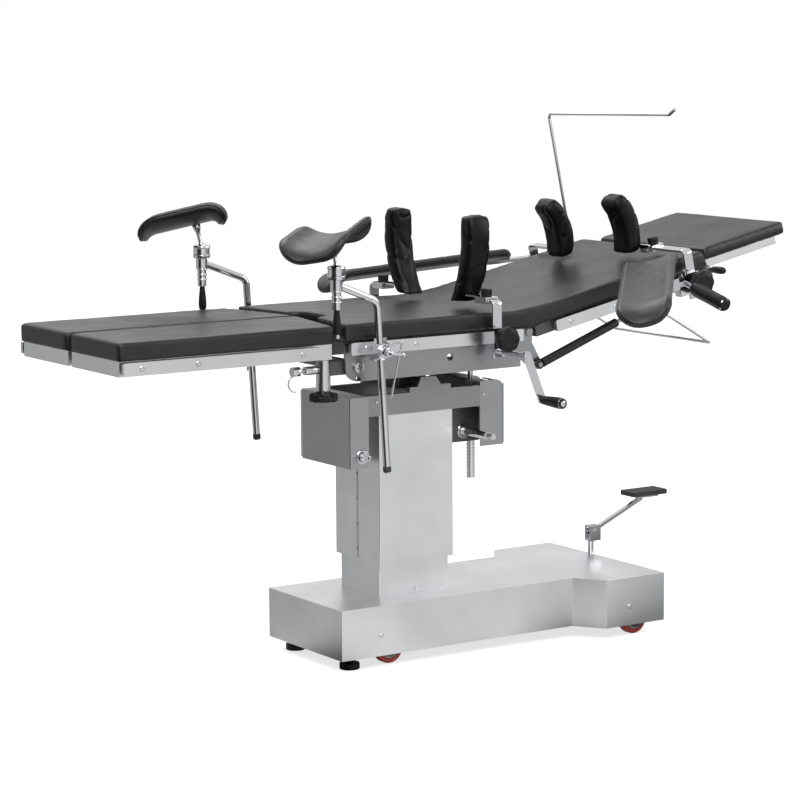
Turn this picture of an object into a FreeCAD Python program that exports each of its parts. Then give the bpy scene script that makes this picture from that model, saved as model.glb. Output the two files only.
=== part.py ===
"""Manual hydraulic operating table with a sectional top and rail accessories.

Frame: +X toward the head end, -Y toward the near side, +Z up, origin on the floor under the column.
Lengths are millimetres and angles are degrees. The back and head sections are drawn level and then
raised about the back hinge by the rest angle.
"""
import FreeCAD, Part
import math
import os

Vector = FreeCAD.Vector
AXIS_X, AXIS_Y, AXIS_Z = Vector(1, 0, 0), Vector(0, 1, 0), Vector(0, 0, 1)
NEAR, FAR = -1, 1

# Fits and clearances
RUN = 0.05           # radial running clearance of pins, shafts and sockets
SLIDE = 0.3          # clearance round sliding bars and between neighbouring soft pads and covers
PLATE_GAP = 1.0      # side clearance between plates that turn against each other

# Base
BASE_FOOT_X = -261.0
BASE_WAIST_X = 421.0
BASE_FLARE_X = 472.0
BASE_HEAD_X = 654.0
BASE_NARROW_Y = 169.5
BASE_WIDE_Y = 244.0
BASE_BOTTOM = 31.0
BASE_TOP = 153.5
COVER_WALL = 2.0
CHASSIS_BOTTOM = 88.0
CHASSIS_THICK = 44.0
FOOT_X, FOOT_Y, FOOT_R = -212.0, 125.0, 24.5
FOOT_DISC = 16.0
FOOT_STEM_R = 8.0
WHEEL_R, WHEEL_W, AXLE_R = 37.5, 24.0, 5.0
FOOT_WHEEL = (-102.0, 124.0)
HEAD_WHEEL = (581.0, 205.0)
BRACKET_T, BRACKET_W, BRACKET_GAP = 4.0, 40.0, 2.0

# Pump pedal
PEDAL_X, PEDAL_Y, PEDAL_Z = 652.0, 52.0, 216.0
PUMP_POST_X = 645.0
PUMP_POST_R = 8.0
CLEVIS_GAP, CLEVIS_T, CLEVIS_W = 14.0, 5.0, 34.0
PEDAL_PIN_R = 5.0
LEVER_RUN, LEVER_RISE = 168.0, 74.0
LEVER_W, LEVER_T = 12.0, 10.0
PEDAL_PAD = (112.0, 62.0, 12.0)
PEDAL_RIBS = 7

# Column
INNER_X, INNER_Y, INNER_TOP = 100.5, 87.5, 455.0
SLEEVE_X, SLEEVE_Y = 107.0, 100.4
SLEEVE_BOTTOM, SLEEVE_TOP = 237.0, 600.0
COLUMN_WALL = 3.0
CYLINDER_R, CYLINDER_WALL, CYLINDER_TOP = 40.0, 6.0, 400.0
RAM_R = 24.0
RAM_END = 175.0

# Tilt yoke on the column top
YOKE_Y = 111.5
BAND_X0, BAND_X1 = -143.0, 181.0
BAND_Z0, BAND_Z1 = 602.0, 652.0
HEAD_BLOCK_Z0, HEAD_BLOCK_Z1 = 540.0, 622.0
HOUSING_L = (-196.0, BAND_X0, 479.5, 651.0)
HOUSING_R = (BAND_X1, 250.0, 502.0, 663.5)
HOUSING_WALL = 2.5
HOUSING_ROUND = 20.0
HOUSING_TOP_X, HOUSING_SLOT_X = 224.0, 247.0
TREND_X, TREND_Z = 30.0, 668.0
TREND_R = 12.0
LUG_BOTTOM, LUG_TOP, LUG_RISE = (-25.0, 94.0), (8.0, 51.0), 686.5
LUG_STEP = 12.0
GEARBOX = (118.0, 214.0, -62.0, 10.0, 509.0, 591.0)
SPINDLE_X, SPINDLE_Y, SPINDLE_R = 203.0, -38.0, 11.0
SPINDLE_BOTTOM, SPINDLE_EYE_Z, SPINDLE_EYE_R, SPINDLE_EYE_T = 413.0, 706.0, 13.0, 14.0
THREAD_PITCH = 9.0
SHAFT_X, SHAFT_Z, SHAFT_R, SHAFT_END = 166.0, 536.0, 9.5, -190.0
HEX_R, HEX_LENGTH = 7.0, 26.0
LATERAL_SHAFT_X, LATERAL_SHAFT_Z = -161.0, 507.0
LATERAL_SHAFT_R, LATERAL_FLANGE_R, LATERAL_END = 8.0, 11.0, -137.0

# Cradle between the two tilt axes
LATERAL_Z = 705.0
LATERAL_R = 12.0
CRADLE_X, CRADLE_Y = 45.0, 38.0
CRADLE_TOP = 727.0
LATERAL_X0, LATERAL_X1 = -130.0, 146.0
EAR_GAP, EAR_T = 16.0, 7.0
EAR_TIP_X, EAR_Z, EAR_HALF, EAR_SLOT, SPINDLE_PIN_R = 225.0, 703.5, 14.0, 7.5, 4.0

# Seat section
TOP_HALF = 250.0           # half width of the padded top
SEAT_X0, SEAT_X1 = -283.0, 216.0
PLATE_Y, PLATE_T = TOP_HALF - 25.0, 8.0
PLATE_Z0, FRAME_TOP = 709.5, 800.0
PLATE_ROUND = 36.0
PAN_T = 4.0
PAN_HALF = TOP_HALF - 10.0
HANGER_T, HANGER_HALF, HANGER_DROP = 16.0, 18.0, 20.0
BEAM_W, BEAM_H = 36.0, 30.0
NOTCH_HALF, NOTCH_X, SEAT_CORNER_X = 70.0, -218.0, -294.0
SEAT_SLANT = 32.0
PAD_T = 44.0
PAD_EDGE = 8.0
LIGHT_HOLE_X, LIGHT_HOLE_Z, LIGHT_HOLE_R = 10.0, 747.5, 8.5

# Rails
RAIL_Y, RAIL_T, RAIL_H, RAIL_Z0 = TOP_HALF, 10.0, 29.0, 775.0
LEG_RAIL_Z0 = 772.0
SEAT_RAIL = (-283.0, 206.0)
BACK_RAIL = (306.0, 801.0)
LEG_RAIL = (-873.0, -366.0)
SPACER_R = 7.0
RAIL_ROUND = 5.0

# Leg sections
FOLD_X, FOLD_Z, FOLD_R = -249.0, 742.5, 10.0
FOLD_HUB_R, FOLD_HEAD_R, FOLD_HEAD_T = 22.0, 13.0, 5.0
POST_X, POST_Y, POST_R = -333.0, PLATE_Y - 10.0, 17.0
POST_PIN_R = 10.0
POST_TOP = 765.0
POST_LENGTH = {NEAR: 79.0, FAR: 42.0}
ARM_T = 12.0
STAR_R, STAR_H, STAR_ARMS = 33.0, 17.0, 8
LEG_X0, LEG_BLOCK = -874.0, 30.0
LEG_Z0, LEG_Z1 = 768.0, 803.0
LEG_INNER_Y = 9.0
LEG_WALL = 3.0
LEG_PAD_X0, LEG_PAD_X1, LEG_PAD_SLANT = -880.0, -321.0, 46.0
LEG_PAD_T = 43.5
LOCK_X = (-352.0, -384.0, -398.0, -418.0)
LOCK_BARREL_R, LOCK_ROD_R, LOCK_KNOB_R = 10.0, 4.0, 11.0
LOCK_HOOK_R, LOCK_HOOK_WIRE = 19.0, 2.0

# Back and head sections, drawn level
HINGE_X, HINGE_Z, HINGE_R = 240.0, 792.0, 7.0
BACK_REST = 12.0
BACK_X0, BACK_X1 = 256.0, 803.0
SIDE_BEAM_Y0, SIDE_BEAM_Y1, BACK_Z0 = TOP_HALF - 45.0, TOP_HALF - 10.0, 776.0
FOAM_SEAT_ANGLE, FOAM_BACK_ANGLE = 30.0, 42.0
HEAD_HINGE_X, HEAD_HINGE_Z, HEAD_HINGE_R = 808.0, 795.0, 6.0
HEAD_FRAME_X0, HEAD_FRAME_X1, HEAD_FRAME_Y = 826.0, 1062.0, SIDE_BEAM_Y0
HEAD_FRAME_H = 21.0
HEAD_PAD_X1, HEAD_PAD_HALF, HEAD_PAD_Z0, HEAD_PAD_T = 1088.0, HEAD_FRAME_Y + 14.0, 812.0, 33.0
FOAM_HEAD_ANGLE = 15.0
LEVER_END_Y, LEVER_R, LEVER_GRIP_R = -(TOP_HALF + 22.0), 4.0, 7.5
STRUT_X, STRUT_Z = 263.0, 712.0
STRUT_TOP_X, STRUT_TOP_Z = 621.0, 764.0
STRUT_Y, STRUT_R, STRUT_ROD_R, STRUT_BODY = TOP_HALF - 5.0, 11.0, 5.0, 240.0
STRUT_PIN_R, STRUT_EYE_R, STRUT_EYE_T = 6.0, 11.0, 8.0
STRUT_LUG_HALF, LUG_PLATE_T = 20.0, 3.5
BAIL_X, BAIL_Z, BAIL_Y, BAIL_R = 618.0, 768.0, SIDE_BEAM_Y0 - 8.0, 4.0
BAIL_LENGTH, BAIL_DROP = 254.0, 42.0

# Crank on the near side plate
CRANK_X, CRANK_Z, CRANK_R = 160.0, 751.0, 8.0
CRANK_INNER_Y, CRANK_PLANE_Y = -(PLATE_Y - 13.0), -(TOP_HALF + 83.0)
CRANK_ARM, CRANK_ARM_W, CRANK_ARM_T, CRANK_ANGLE = 119.0, 20.0, 7.0, 22.0
GRIP_R0, GRIP_R1, GRIP_LENGTH = 9.0, 13.0, 78.0

# Knee crutches
KNEE_LEAN, KNEE_R = 3.5, 9.0
KNEE_X = {NEAR: -219.0, FAR: -240.0}
KNEE_LIFT = {NEAR: 0.0, FAR: 9.0}
KNEE_Y = TOP_HALF + 32.0
KNEE_BOTTOM, KNEE_BEND_Z = 498.0, 900.0
KNEE_ARM, KNEE_ARM_RISE, KNEE_OUT = 118.0, 46.0, 6.0
KNEE_BEND_R = 26.0
KNEE_CLAMP_Z = 783.0
CUP_R, CUP_H, SOCKET_R, SOCKET_H = 21.0, 32.0, 14.0, 24.0
KNUCKLE_R, KNUCKLE_H = 11.0, 44.0
KNEE_GRIP_R, KNEE_GRIP_L = 7.5, 56.0
KNEE_NECK_R, KNEE_NECK_TOP_R = 5.0, 10.0
KNEE_NECK = {NEAR: (8.0, -8.0, 42.0), FAR: (-6.0, 1.0, 53.0)}
SADDLE_LENGTH, SADDLE_WIDTH, SADDLE_T, SADDLE_WING_R = 153.0, 180.0, 16.0, 150.0
SADDLE_FOOT, SADDLE_HEAD = (46.0, 41.0), (27.0, 86.0)
SADDLE_CORNER, SADDLE_SEAT_X = 66.0, 45.0
KNEE_TURN = {NEAR: 52.0, FAR: -19.0}
KNEE_PITCH = {NEAR: 15.3, FAR: 11.0}
KNEE_ROLL = {NEAR: -0.6, FAR: -11.8}

# Lateral and shoulder supports: flat bar bent in an L, clamp with a knob, pad on a carrier
BAR_W, BAR_T = 26.0, 6.0
BAR_Y = TOP_HALF + 20.0
BAR_BEND = 12.0
CLAMP_X, CLAMP_T, CLAMP_Z0, CLAMP_Z1 = 17.0, 24.0, 762.0, 814.0
CLAMP_LIP = 4.0
KNOB_R, KNOB_L, KNOB_STEM = 28.0, 24.0, 12.0
LATERAL_X, LATERAL_BAR_Z0, LATERAL_BAR_Z1, LATERAL_REACH = 120.0, 741.0, 880.0, TOP_HALF - 47.0
LATERAL_PAD = (62.0, 46.0, 214.0)
LATERAL_PAD_X, LATERAL_PAD_Z, LATERAL_PAD_Y, LATERAL_SWEEP = 128.0, 860.0, TOP_HALF - 134.0, 50.0
SHOULDER_X = {NEAR: 724.0, FAR: 640.0}
SHOULDER_BAR_Z0, SHOULDER_BAR_Z1, SHOULDER_REACH = 745.0, 871.0, TOP_HALF - 132.0
SHOULDER_PAD = (42.0, 70.0, 154.0)
SHOULDER_PAD_Z, SHOULDER_LEAN, SHOULDER_BOW = 866.0, 34.0, 10.0
SHOULDER_PAD_Y = {NEAR: 86.0, FAR: 86.0}
CARRIER_L, LATERAL_CARRIER_L = 34.0, 46.0

# Arm boards and screen
ARM_CLAMP_X = 692.0
ARM_PIVOT_X = {NEAR: 560.0, FAR: 577.0}
ARM_PIVOT_Y = {NEAR: TOP_HALF + 76.0, FAR: TOP_HALF + 156.0}
ARM_PIVOT_R = 9.0
ARM_BAR_W, ARM_BAR_T, ARM_BAR_Z = 26.0, 8.0, 822.0
ARM_LENGTH, ARM_WIDTH, ARM_THICK, ARM_WING_R = 572.0, 146.0, 22.0, 150.0
ARM_DROOP = (70.0, 52.0)
ARM_INSET, ARM_PAD_Z = 38.0, {NEAR: 848.0, FAR: 840.0}
ARM_SWING = {NEAR: 47.0, FAR: 0.0}
ARM_PITCH = {NEAR: 0.0, FAR: 12.0}
ARM_GRIP_R, ARM_GRIP_L = 17.0, 118.0
SCREEN_X, SCREEN_Y, SCREEN_R = 767.0, TOP_HALF + 26.0, 4.0
SCREEN_TOP, SCREEN_SPAN, SCREEN_BEND, SCREEN_TIP = 1190.0, 2 * TOP_HALF + 7.0, 14.0, 26.0
SCREEN_BOTTOM = 750.0


def box(x0, x1, y0, y1, z0, z1):
    return Part.makeBox(x1 - x0, y1 - y0, z1 - z0, Vector(x0, y0, z0))


def rod(start, axis, radius, length):
    return Part.makeCylinder(radius, length, start, axis)


def sided(side, inner, outer):
    """Low and high Y of a piece between two distances from the centre plane, on one side."""
    return (inner, outer) if side == FAR else (-outer, -inner)


def polygon_xy(points, z0, height):
    face = Part.Face(Part.makePolygon([Vector(x, y, z0) for x, y in points + points[:1]]))
    return face.extrude(Vector(0, 0, height))


def polygon_xz(points, y0, depth):
    face = Part.Face(Part.makePolygon([Vector(x, y0, z) for x, z in points + points[:1]]))
    return face.extrude(Vector(0, depth, 0))


def edges_along(shape, axis, where=lambda point: True):
    found = []
    for edge in shape.Edges:
        if len(edge.Vertexes) < 2:
            continue
        start, end = edge.Vertexes[0].Point, edge.Vertexes[1].Point
        run = end.sub(start)
        straight = isinstance(edge.Curve, Part.Line)
        if straight and run.Length > 0 and abs(run.dot(axis)) > 0.999 * run.Length:
            if where(start.add(end).multiply(0.5)):
                found.append(edge)
    return found


def rounded(shape, radius, axis, where=lambda point: True):
    return shape.makeFillet(radius, edges_along(shape, axis, where))


def turned(shape, centre, axis, angle):
    out = shape.copy()
    out.rotate(centre, axis, angle)
    return out


def on_back(shape):
    """Carries a piece drawn level onto the raised back section."""
    return turned(shape, Vector(HINGE_X, 0, HINGE_Z), AXIS_Y, -BACK_REST)


def bent_rod(points, radius, bend):
    """Round bar through the points, each inner corner an arc of the bend radius."""
    edges, start = [], points[0]
    for before, corner, after in zip(points, points[1:], points[2:]):
        into = corner.sub(before).normalize()
        out = after.sub(corner).normalize()
        turn = into.getAngle(out)
        cut = bend * math.tan(turn / 2)
        first = corner.sub(Vector(into).multiply(cut))
        last = corner.add(Vector(out).multiply(cut))
        inward = Vector(out).sub(into).normalize()
        centre = corner.add(Vector(inward).multiply(bend / math.cos(turn / 2)))
        middle = centre.sub(Vector(inward).multiply(bend))
        edges += [Part.LineSegment(start, first).toShape(), Part.Arc(first, middle, last).toShape()]
        start = last
    edges.append(Part.LineSegment(start, points[-1]).toShape())
    path = Part.Wire(edges)
    along = points[1].sub(points[0])
    section = Part.Wire([Part.makeCircle(radius, points[0], along)])
    return path.makePipeShell([section], True, False)


def hex_rod(start, axis, radius, length):
    bar = Part.makeCylinder(radius / math.cos(math.pi / 6), length, start, axis)
    across = AXIS_Z if abs(axis.dot(AXIS_Z)) < 0.9 else AXIS_X
    keep = None
    for step in range(3):
        side = FreeCAD.Rotation(axis, 60.0 * step).multVec(across)
        slab = Part.makeBox(4 * radius, 2 * radius, length)
        slab.translate(Vector(-2 * radius, -radius, 0))
        slab.Placement = FreeCAD.Placement(start, FreeCAD.Rotation(side.cross(axis), side, axis, "ZXY")).multiply(
            slab.Placement)
        keep = slab if keep is None else keep.common(slab)
    return bar.common(keep)


def star_knob(centre_top, radius, height, arms):
    """Round knob with finger hollows, hanging down from its top centre."""
    knob = rod(centre_top.sub(Vector(0, 0, height)), AXIS_Z, radius, height)
    for step in range(arms):
        angle = 2 * math.pi * step / arms
        at = Vector(math.cos(angle), math.sin(angle), 0).multiply(radius * 1.12)
        knob = knob.cut(rod(centre_top.add(at).sub(Vector(0, 0, 2 * height)), AXIS_Z, radius * 0.27, 3 * height))
    return knob


def base_outline(inset=0.0):
    flare = inset * math.tan(math.radians(28))
    half = [
        (BASE_FOOT_X + inset, BASE_NARROW_Y - inset),
        (BASE_WAIST_X + flare, BASE_NARROW_Y - inset),
        (BASE_FLARE_X + flare, BASE_WIDE_Y - inset),
        (BASE_HEAD_X - inset, BASE_WIDE_Y - inset),
    ]
    return [(x, -y) for x, y in half] + [(x, y) for x, y in reversed(half)]


def base_cover():
    shell = polygon_xy(base_outline(), BASE_BOTTOM, BASE_TOP - BASE_BOTTOM)
    inside = polygon_xy(base_outline(COVER_WALL), BASE_BOTTOM, BASE_TOP - BASE_BOTTOM - COVER_WALL)
    opening = box(-INNER_X, INNER_X, -INNER_Y, INNER_Y, BASE_BOTTOM, BASE_TOP)
    post = rod(Vector(PUMP_POST_X, PEDAL_Y, BASE_BOTTOM), AXIS_Z, PUMP_POST_R, BASE_TOP)
    return shell.cut(inside).cut(opening).cut(post)


def caster_bracket(x, y):
    """Top plate, two cheeks and the axle of one wheel."""
    cheek = WHEEL_W / 2 + BRACKET_GAP
    pieces = []
    for side in (NEAR, FAR):
        y0, y1 = sided(side, cheek, cheek + BRACKET_T)
        low = rod(Vector(x, y + y0, WHEEL_R), AXIS_Y, BRACKET_W / 2, BRACKET_T)
        pieces.append(low.fuse(box(x - BRACKET_W / 2, x + BRACKET_W / 2, y + y0, y + y1, WHEEL_R, CHASSIS_BOTTOM)))
    reach = cheek + BRACKET_T
    pieces.append(rod(Vector(x, y - reach, WHEEL_R), AXIS_Y, AXLE_R, 2 * reach))
    return pieces


def base_chassis():
    plate = polygon_xy(base_outline(COVER_WALL), CHASSIS_BOTTOM, CHASSIS_THICK)
    under = BASE_TOP - COVER_WALL
    top = CHASSIS_BOTTOM + CHASSIS_THICK
    body = plate
    for x, y in (FOOT_WHEEL, HEAD_WHEEL):
        for side in (NEAR, FAR):
            body = body.fuse(rod(Vector(x, side * y, top), AXIS_Z, BRACKET_W / 2, under - top))
            for piece in caster_bracket(x, side * y):
                body = body.fuse(piece)
    return body.cut(rod(Vector(PUMP_POST_X, PEDAL_Y, CHASSIS_BOTTOM), AXIS_Z, PUMP_POST_R, CHASSIS_THICK))


def levelling_feet():
    solids = []
    for side in (NEAR, FAR):
        at = Vector(FOOT_X, side * FOOT_Y, 0)
        disc = rod(at, AXIS_Z, FOOT_R, FOOT_DISC)
        disc = disc.makeFillet(3.0, [edge for edge in disc.Edges if isinstance(edge.Curve, Part.Circle)])
        solids.append(disc.fuse(rod(at, AXIS_Z, FOOT_STEM_R, CHASSIS_BOTTOM)))
    return solids


def wheel(x, y):
    start = Vector(x, y - WHEEL_W / 2, WHEEL_R)
    tyre = rod(start, AXIS_Y, WHEEL_R, WHEEL_W)
    tyre = tyre.makeFillet(5.0, [edge for edge in tyre.Edges if isinstance(edge.Curve, Part.Circle)])
    for offset in (0.0, WHEEL_W - 3.0):
        at = start.add(Vector(0, offset, 0))
        tyre = tyre.cut(rod(at, AXIS_Y, WHEEL_R * 0.7, 3.0).cut(rod(at, AXIS_Y, WHEEL_R * 0.36, 3.0)))
    return tyre.cut(rod(start, AXIS_Y, AXLE_R + RUN, WHEEL_W))


def pump_post():
    """Post out of the base with the clevis that holds the pedal lever."""
    post = rod(Vector(PUMP_POST_X, PEDAL_Y, CHASSIS_BOTTOM), AXIS_Z, PUMP_POST_R, PEDAL_Z - CHASSIS_BOTTOM - 22.0)
    half = CLEVIS_GAP / 2
    yoke = box(PEDAL_X - CLEVIS_W / 2, PEDAL_X + CLEVIS_W / 2, PEDAL_Y - half - CLEVIS_T, PEDAL_Y + half + CLEVIS_T,
               PEDAL_Z - 26.0, PEDAL_Z + 14.0)
    slot = box(PEDAL_X - CLEVIS_W, PEDAL_X + CLEVIS_W, PEDAL_Y - half, PEDAL_Y + half, PEDAL_Z - 19.0, PEDAL_Z + 15.0)
    pin = rod(Vector(PEDAL_X, PEDAL_Y - half - CLEVIS_T - 3.0, PEDAL_Z), AXIS_Y, PEDAL_PIN_R,
              2 * (half + CLEVIS_T + 3.0))
    return post.fuse(yoke.cut(slot)).fuse(pin)


def pump_lever():
    rise = math.degrees(math.atan2(LEVER_RISE, LEVER_RUN))
    length = math.hypot(LEVER_RUN, LEVER_RISE)
    at = Vector(PEDAL_X, PEDAL_Y - LEVER_W / 2, PEDAL_Z)
    hub = rod(at, AXIS_Y, LEVER_T / 2 + 6.0, LEVER_W)
    arm = box(PEDAL_X, PEDAL_X + length - 10.0, PEDAL_Y - LEVER_W / 2, PEDAL_Y + LEVER_W / 2,
              PEDAL_Z - LEVER_T / 2, PEDAL_Z + LEVER_T / 2)
    arm = turned(arm, Vector(PEDAL_X, 0, PEDAL_Z), AXIS_Y, -rise)
    end_x, end_z = PEDAL_X + LEVER_RUN, PEDAL_Z + LEVER_RISE
    plate = box(end_x - 34.0, end_x + 34.0, PEDAL_Y - 20.0, PEDAL_Y + 20.0, end_z - 1.0, end_z + 5.0)
    bore = rod(at, AXIS_Y, PEDAL_PIN_R + RUN, LEVER_W)
    return hub.fuse(arm).fuse(plate).cut(bore)


def pedal_pad():
    length, width, thick = PEDAL_PAD
    x, z = PEDAL_X + LEVER_RUN, PEDAL_Z + LEVER_RISE + 5.0
    pad = rounded(box(x - length / 2, x + length / 2, PEDAL_Y - width / 2, PEDAL_Y + width / 2, z, z + thick),
                  6.0, AXIS_Z)
    pitch = length / PEDAL_RIBS
    for step in range(1, PEDAL_RIBS):
        groove = x - length / 2 + step * pitch
        pad = pad.cut(box(groove - 1.5, groove + 1.5, PEDAL_Y - width, PEDAL_Y + width, z + thick - 2.0, z + thick))
    return pad


def rectangular_tube(half_x, half_y, z0, z1, wall):
    outer = rounded(box(-half_x, half_x, -half_y, half_y, z0, z1), 2.0, AXIS_Z)
    return outer.cut(box(-half_x + wall, half_x - wall, -half_y + wall, half_y - wall, z0, z1))


def inner_column():
    return rectangular_tube(INNER_X, INNER_Y, CHASSIS_BOTTOM + CHASSIS_THICK, INNER_TOP, COLUMN_WALL)


def lift_cylinder():
    z0 = CHASSIS_BOTTOM + CHASSIS_THICK
    barrel = rod(Vector(0, 0, z0), AXIS_Z, CYLINDER_R, CYLINDER_TOP - z0)
    return barrel.cut(rod(Vector(0, 0, z0 + 12.0), AXIS_Z, RAM_R + RUN, CYLINDER_TOP))


def lift_ram():
    return rod(Vector(0, 0, CYLINDER_TOP - RAM_END), AXIS_Z, RAM_R, HEAD_BLOCK_Z0 - CYLINDER_TOP + RAM_END)


def column_sleeve():
    sleeve = rectangular_tube(SLEEVE_X, SLEEVE_Y, SLEEVE_BOTTOM, SLEEVE_TOP, COLUMN_WALL)
    inside_x, inside_y = SLEEVE_X - COLUMN_WALL, SLEEVE_Y - COLUMN_WALL
    block = box(-inside_x, inside_x, -inside_y, inside_y, HEAD_BLOCK_Z0, HEAD_BLOCK_Z1)
    cap = box(-SLEEVE_X, SLEEVE_X, -SLEEVE_Y, SLEEVE_Y, SLEEVE_TOP, HEAD_BLOCK_Z1)
    return sleeve.fuse(block).fuse(cap)


def tilt_yoke():
    """Two bands along the column top, each with the raised bearing lug of the long tilt axis."""
    solids = []
    for side in (NEAR, FAR):
        y0, y1 = sided(side, SLEEVE_Y, YOKE_Y)
        band = box(BAND_X0, BAND_X1, y0, y1, BAND_Z0, BAND_Z1)
        lug = polygon_xz([
            (LUG_BOTTOM[0], BAND_Z1), (LUG_BOTTOM[1], BAND_Z1), (LUG_BOTTOM[1], BAND_Z1 + LUG_STEP),
            (LUG_TOP[1] + 16.0, BAND_Z1 + LUG_STEP), (LUG_TOP[1], LUG_RISE), (LUG_TOP[0], LUG_RISE),
            (LUG_TOP[0] - 10.0, BAND_Z1 + LUG_STEP), (LUG_BOTTOM[0], BAND_Z1 + LUG_STEP)], y0, y1 - y0)
        inner = SLEEVE_Y * side
        bore = rod(Vector(TREND_X, inner, TREND_Z), Vector(0, side, 0), TREND_R + RUN, (YOKE_Y - SLEEVE_Y) * 0.7)
        solids.append(band.fuse(lug).cut(bore))
    return solids


def gear_housings():
    x0, x1, z0, z1 = HOUSING_L
    left = rounded(box(x0, x1, -YOKE_Y, YOKE_Y, z0, z1), 3.0, AXIS_Z, lambda point: point.x < x0 + 1)
    left = left.cut(box(x0 + HOUSING_WALL, x1 - HOUSING_WALL, -YOKE_Y + HOUSING_WALL, YOKE_Y - HOUSING_WALL,
                        z0 - 1, z1 - HOUSING_WALL))
    left = left.cut(rod(Vector(LATERAL_SHAFT_X, -YOKE_Y, LATERAL_SHAFT_Z), AXIS_Y, LATERAL_SHAFT_R + RUN,
                        HOUSING_WALL))
    x0, x1, z0, z1 = HOUSING_R
    right = rounded(box(x0, x1, -YOKE_Y, YOKE_Y, z0, z1), HOUSING_ROUND, AXIS_Y,
                    lambda point: point.x > x1 - 1 and point.z > z1 - 1)
    hollow = box(x0 - 1, x1 - HOUSING_WALL, -YOKE_Y + HOUSING_WALL, YOKE_Y - HOUSING_WALL, z0 - 1, z1 - HOUSING_WALL)
    hollow = rounded(hollow, HOUSING_ROUND - HOUSING_WALL, AXIS_Y,
                     lambda point: point.x > x1 - 5 and point.z > z1 - 5)
    mouth = box(x0 - 1, HOUSING_TOP_X, -YOKE_Y + HOUSING_WALL, YOKE_Y - HOUSING_WALL, z1 - 2 * HOUSING_WALL, z1 + 1)
    reach = EAR_GAP / 2 + EAR_T + 4.0
    slot = box(x0, HOUSING_SLOT_X, SPINDLE_Y - reach, SPINDLE_Y + reach, z1 - HOUSING_ROUND, z1 + 1)
    right = right.cut(hollow).cut(mouth).cut(slot)
    return [left, right]


def tilt_gearbox():
    x0, x1, y0, y1, z0, z1 = GEARBOX
    case = rounded(box(x0, x1, y0, y1, z0, z1), 4.0, AXIS_Z)
    case = case.fuse(box(SLEEVE_X, x0, y0 + 6.0, y1 - 6.0, z0 + 12.0, z1 - 6.0))
    case = case.cut(rod(Vector(SPINDLE_X, SPINDLE_Y, z0), AXIS_Z, SPINDLE_R + SLIDE, z1 - z0))
    return case.cut(rod(Vector(SHAFT_X, y0, SHAFT_Z), AXIS_Y, SHAFT_R + RUN, 24.0))


def tilt_shaft():
    y0 = GEARBOX[2] + 23.0
    shaft = rod(Vector(SHAFT_X, y0, SHAFT_Z), Vector(0, -1, 0), SHAFT_R, y0 - SHAFT_END - HEX_LENGTH)
    return shaft.fuse(hex_rod(Vector(SHAFT_X, SHAFT_END + HEX_LENGTH, SHAFT_Z), Vector(0, -1, 0), HEX_R, HEX_LENGTH))


def lateral_shaft():
    at = Vector(LATERAL_SHAFT_X, LATERAL_END + 10.0, LATERAL_SHAFT_Z)
    flange = rod(Vector(LATERAL_SHAFT_X, -YOKE_Y - SLIDE, LATERAL_SHAFT_Z), Vector(0, -1, 0), LATERAL_FLANGE_R, 5.0)
    shaft = rod(Vector(LATERAL_SHAFT_X, LATERAL_END + 10.0, LATERAL_SHAFT_Z), AXIS_Y, LATERAL_SHAFT_R, 70.0)
    return shaft.fuse(flange).fuse(hex_rod(at, Vector(0, -1, 0), HEX_R - 1.0, 10.0))


def tilt_spindle():
    """Screw with a turned thread form and the eye that drives the cradle arm."""
    core = SPINDLE_R - 1.5
    z1 = SPINDLE_EYE_Z
    screw = rod(Vector(SPINDLE_X, SPINDLE_Y, SPINDLE_BOTTOM), AXIS_Z, core, z1 - 52.0 - SPINDLE_BOTTOM)
    screw = screw.fuse(rod(Vector(SPINDLE_X, SPINDLE_Y, z1 - 52.0), AXIS_Z, SPINDLE_EYE_T / 2, 52.0))
    turns = int((z1 - 60.0 - SPINDLE_BOTTOM) / THREAD_PITCH)
    for step in range(turns):
        z = SPINDLE_BOTTOM + step * THREAD_PITCH
        screw = screw.fuse(rod(Vector(SPINDLE_X, SPINDLE_Y, z), AXIS_Z, SPINDLE_R, THREAD_PITCH / 2))
    eye = rod(Vector(SPINDLE_X, SPINDLE_Y - SPINDLE_EYE_T / 2, z1), AXIS_Y, SPINDLE_EYE_R, SPINDLE_EYE_T)
    reach = EAR_GAP / 2 + EAR_T + 2.0
    pin = rod(Vector(SPINDLE_X, SPINDLE_Y - reach, z1), AXIS_Y, SPINDLE_PIN_R, 2 * reach)
    return screw.fuse(eye).fuse(pin)


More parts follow.
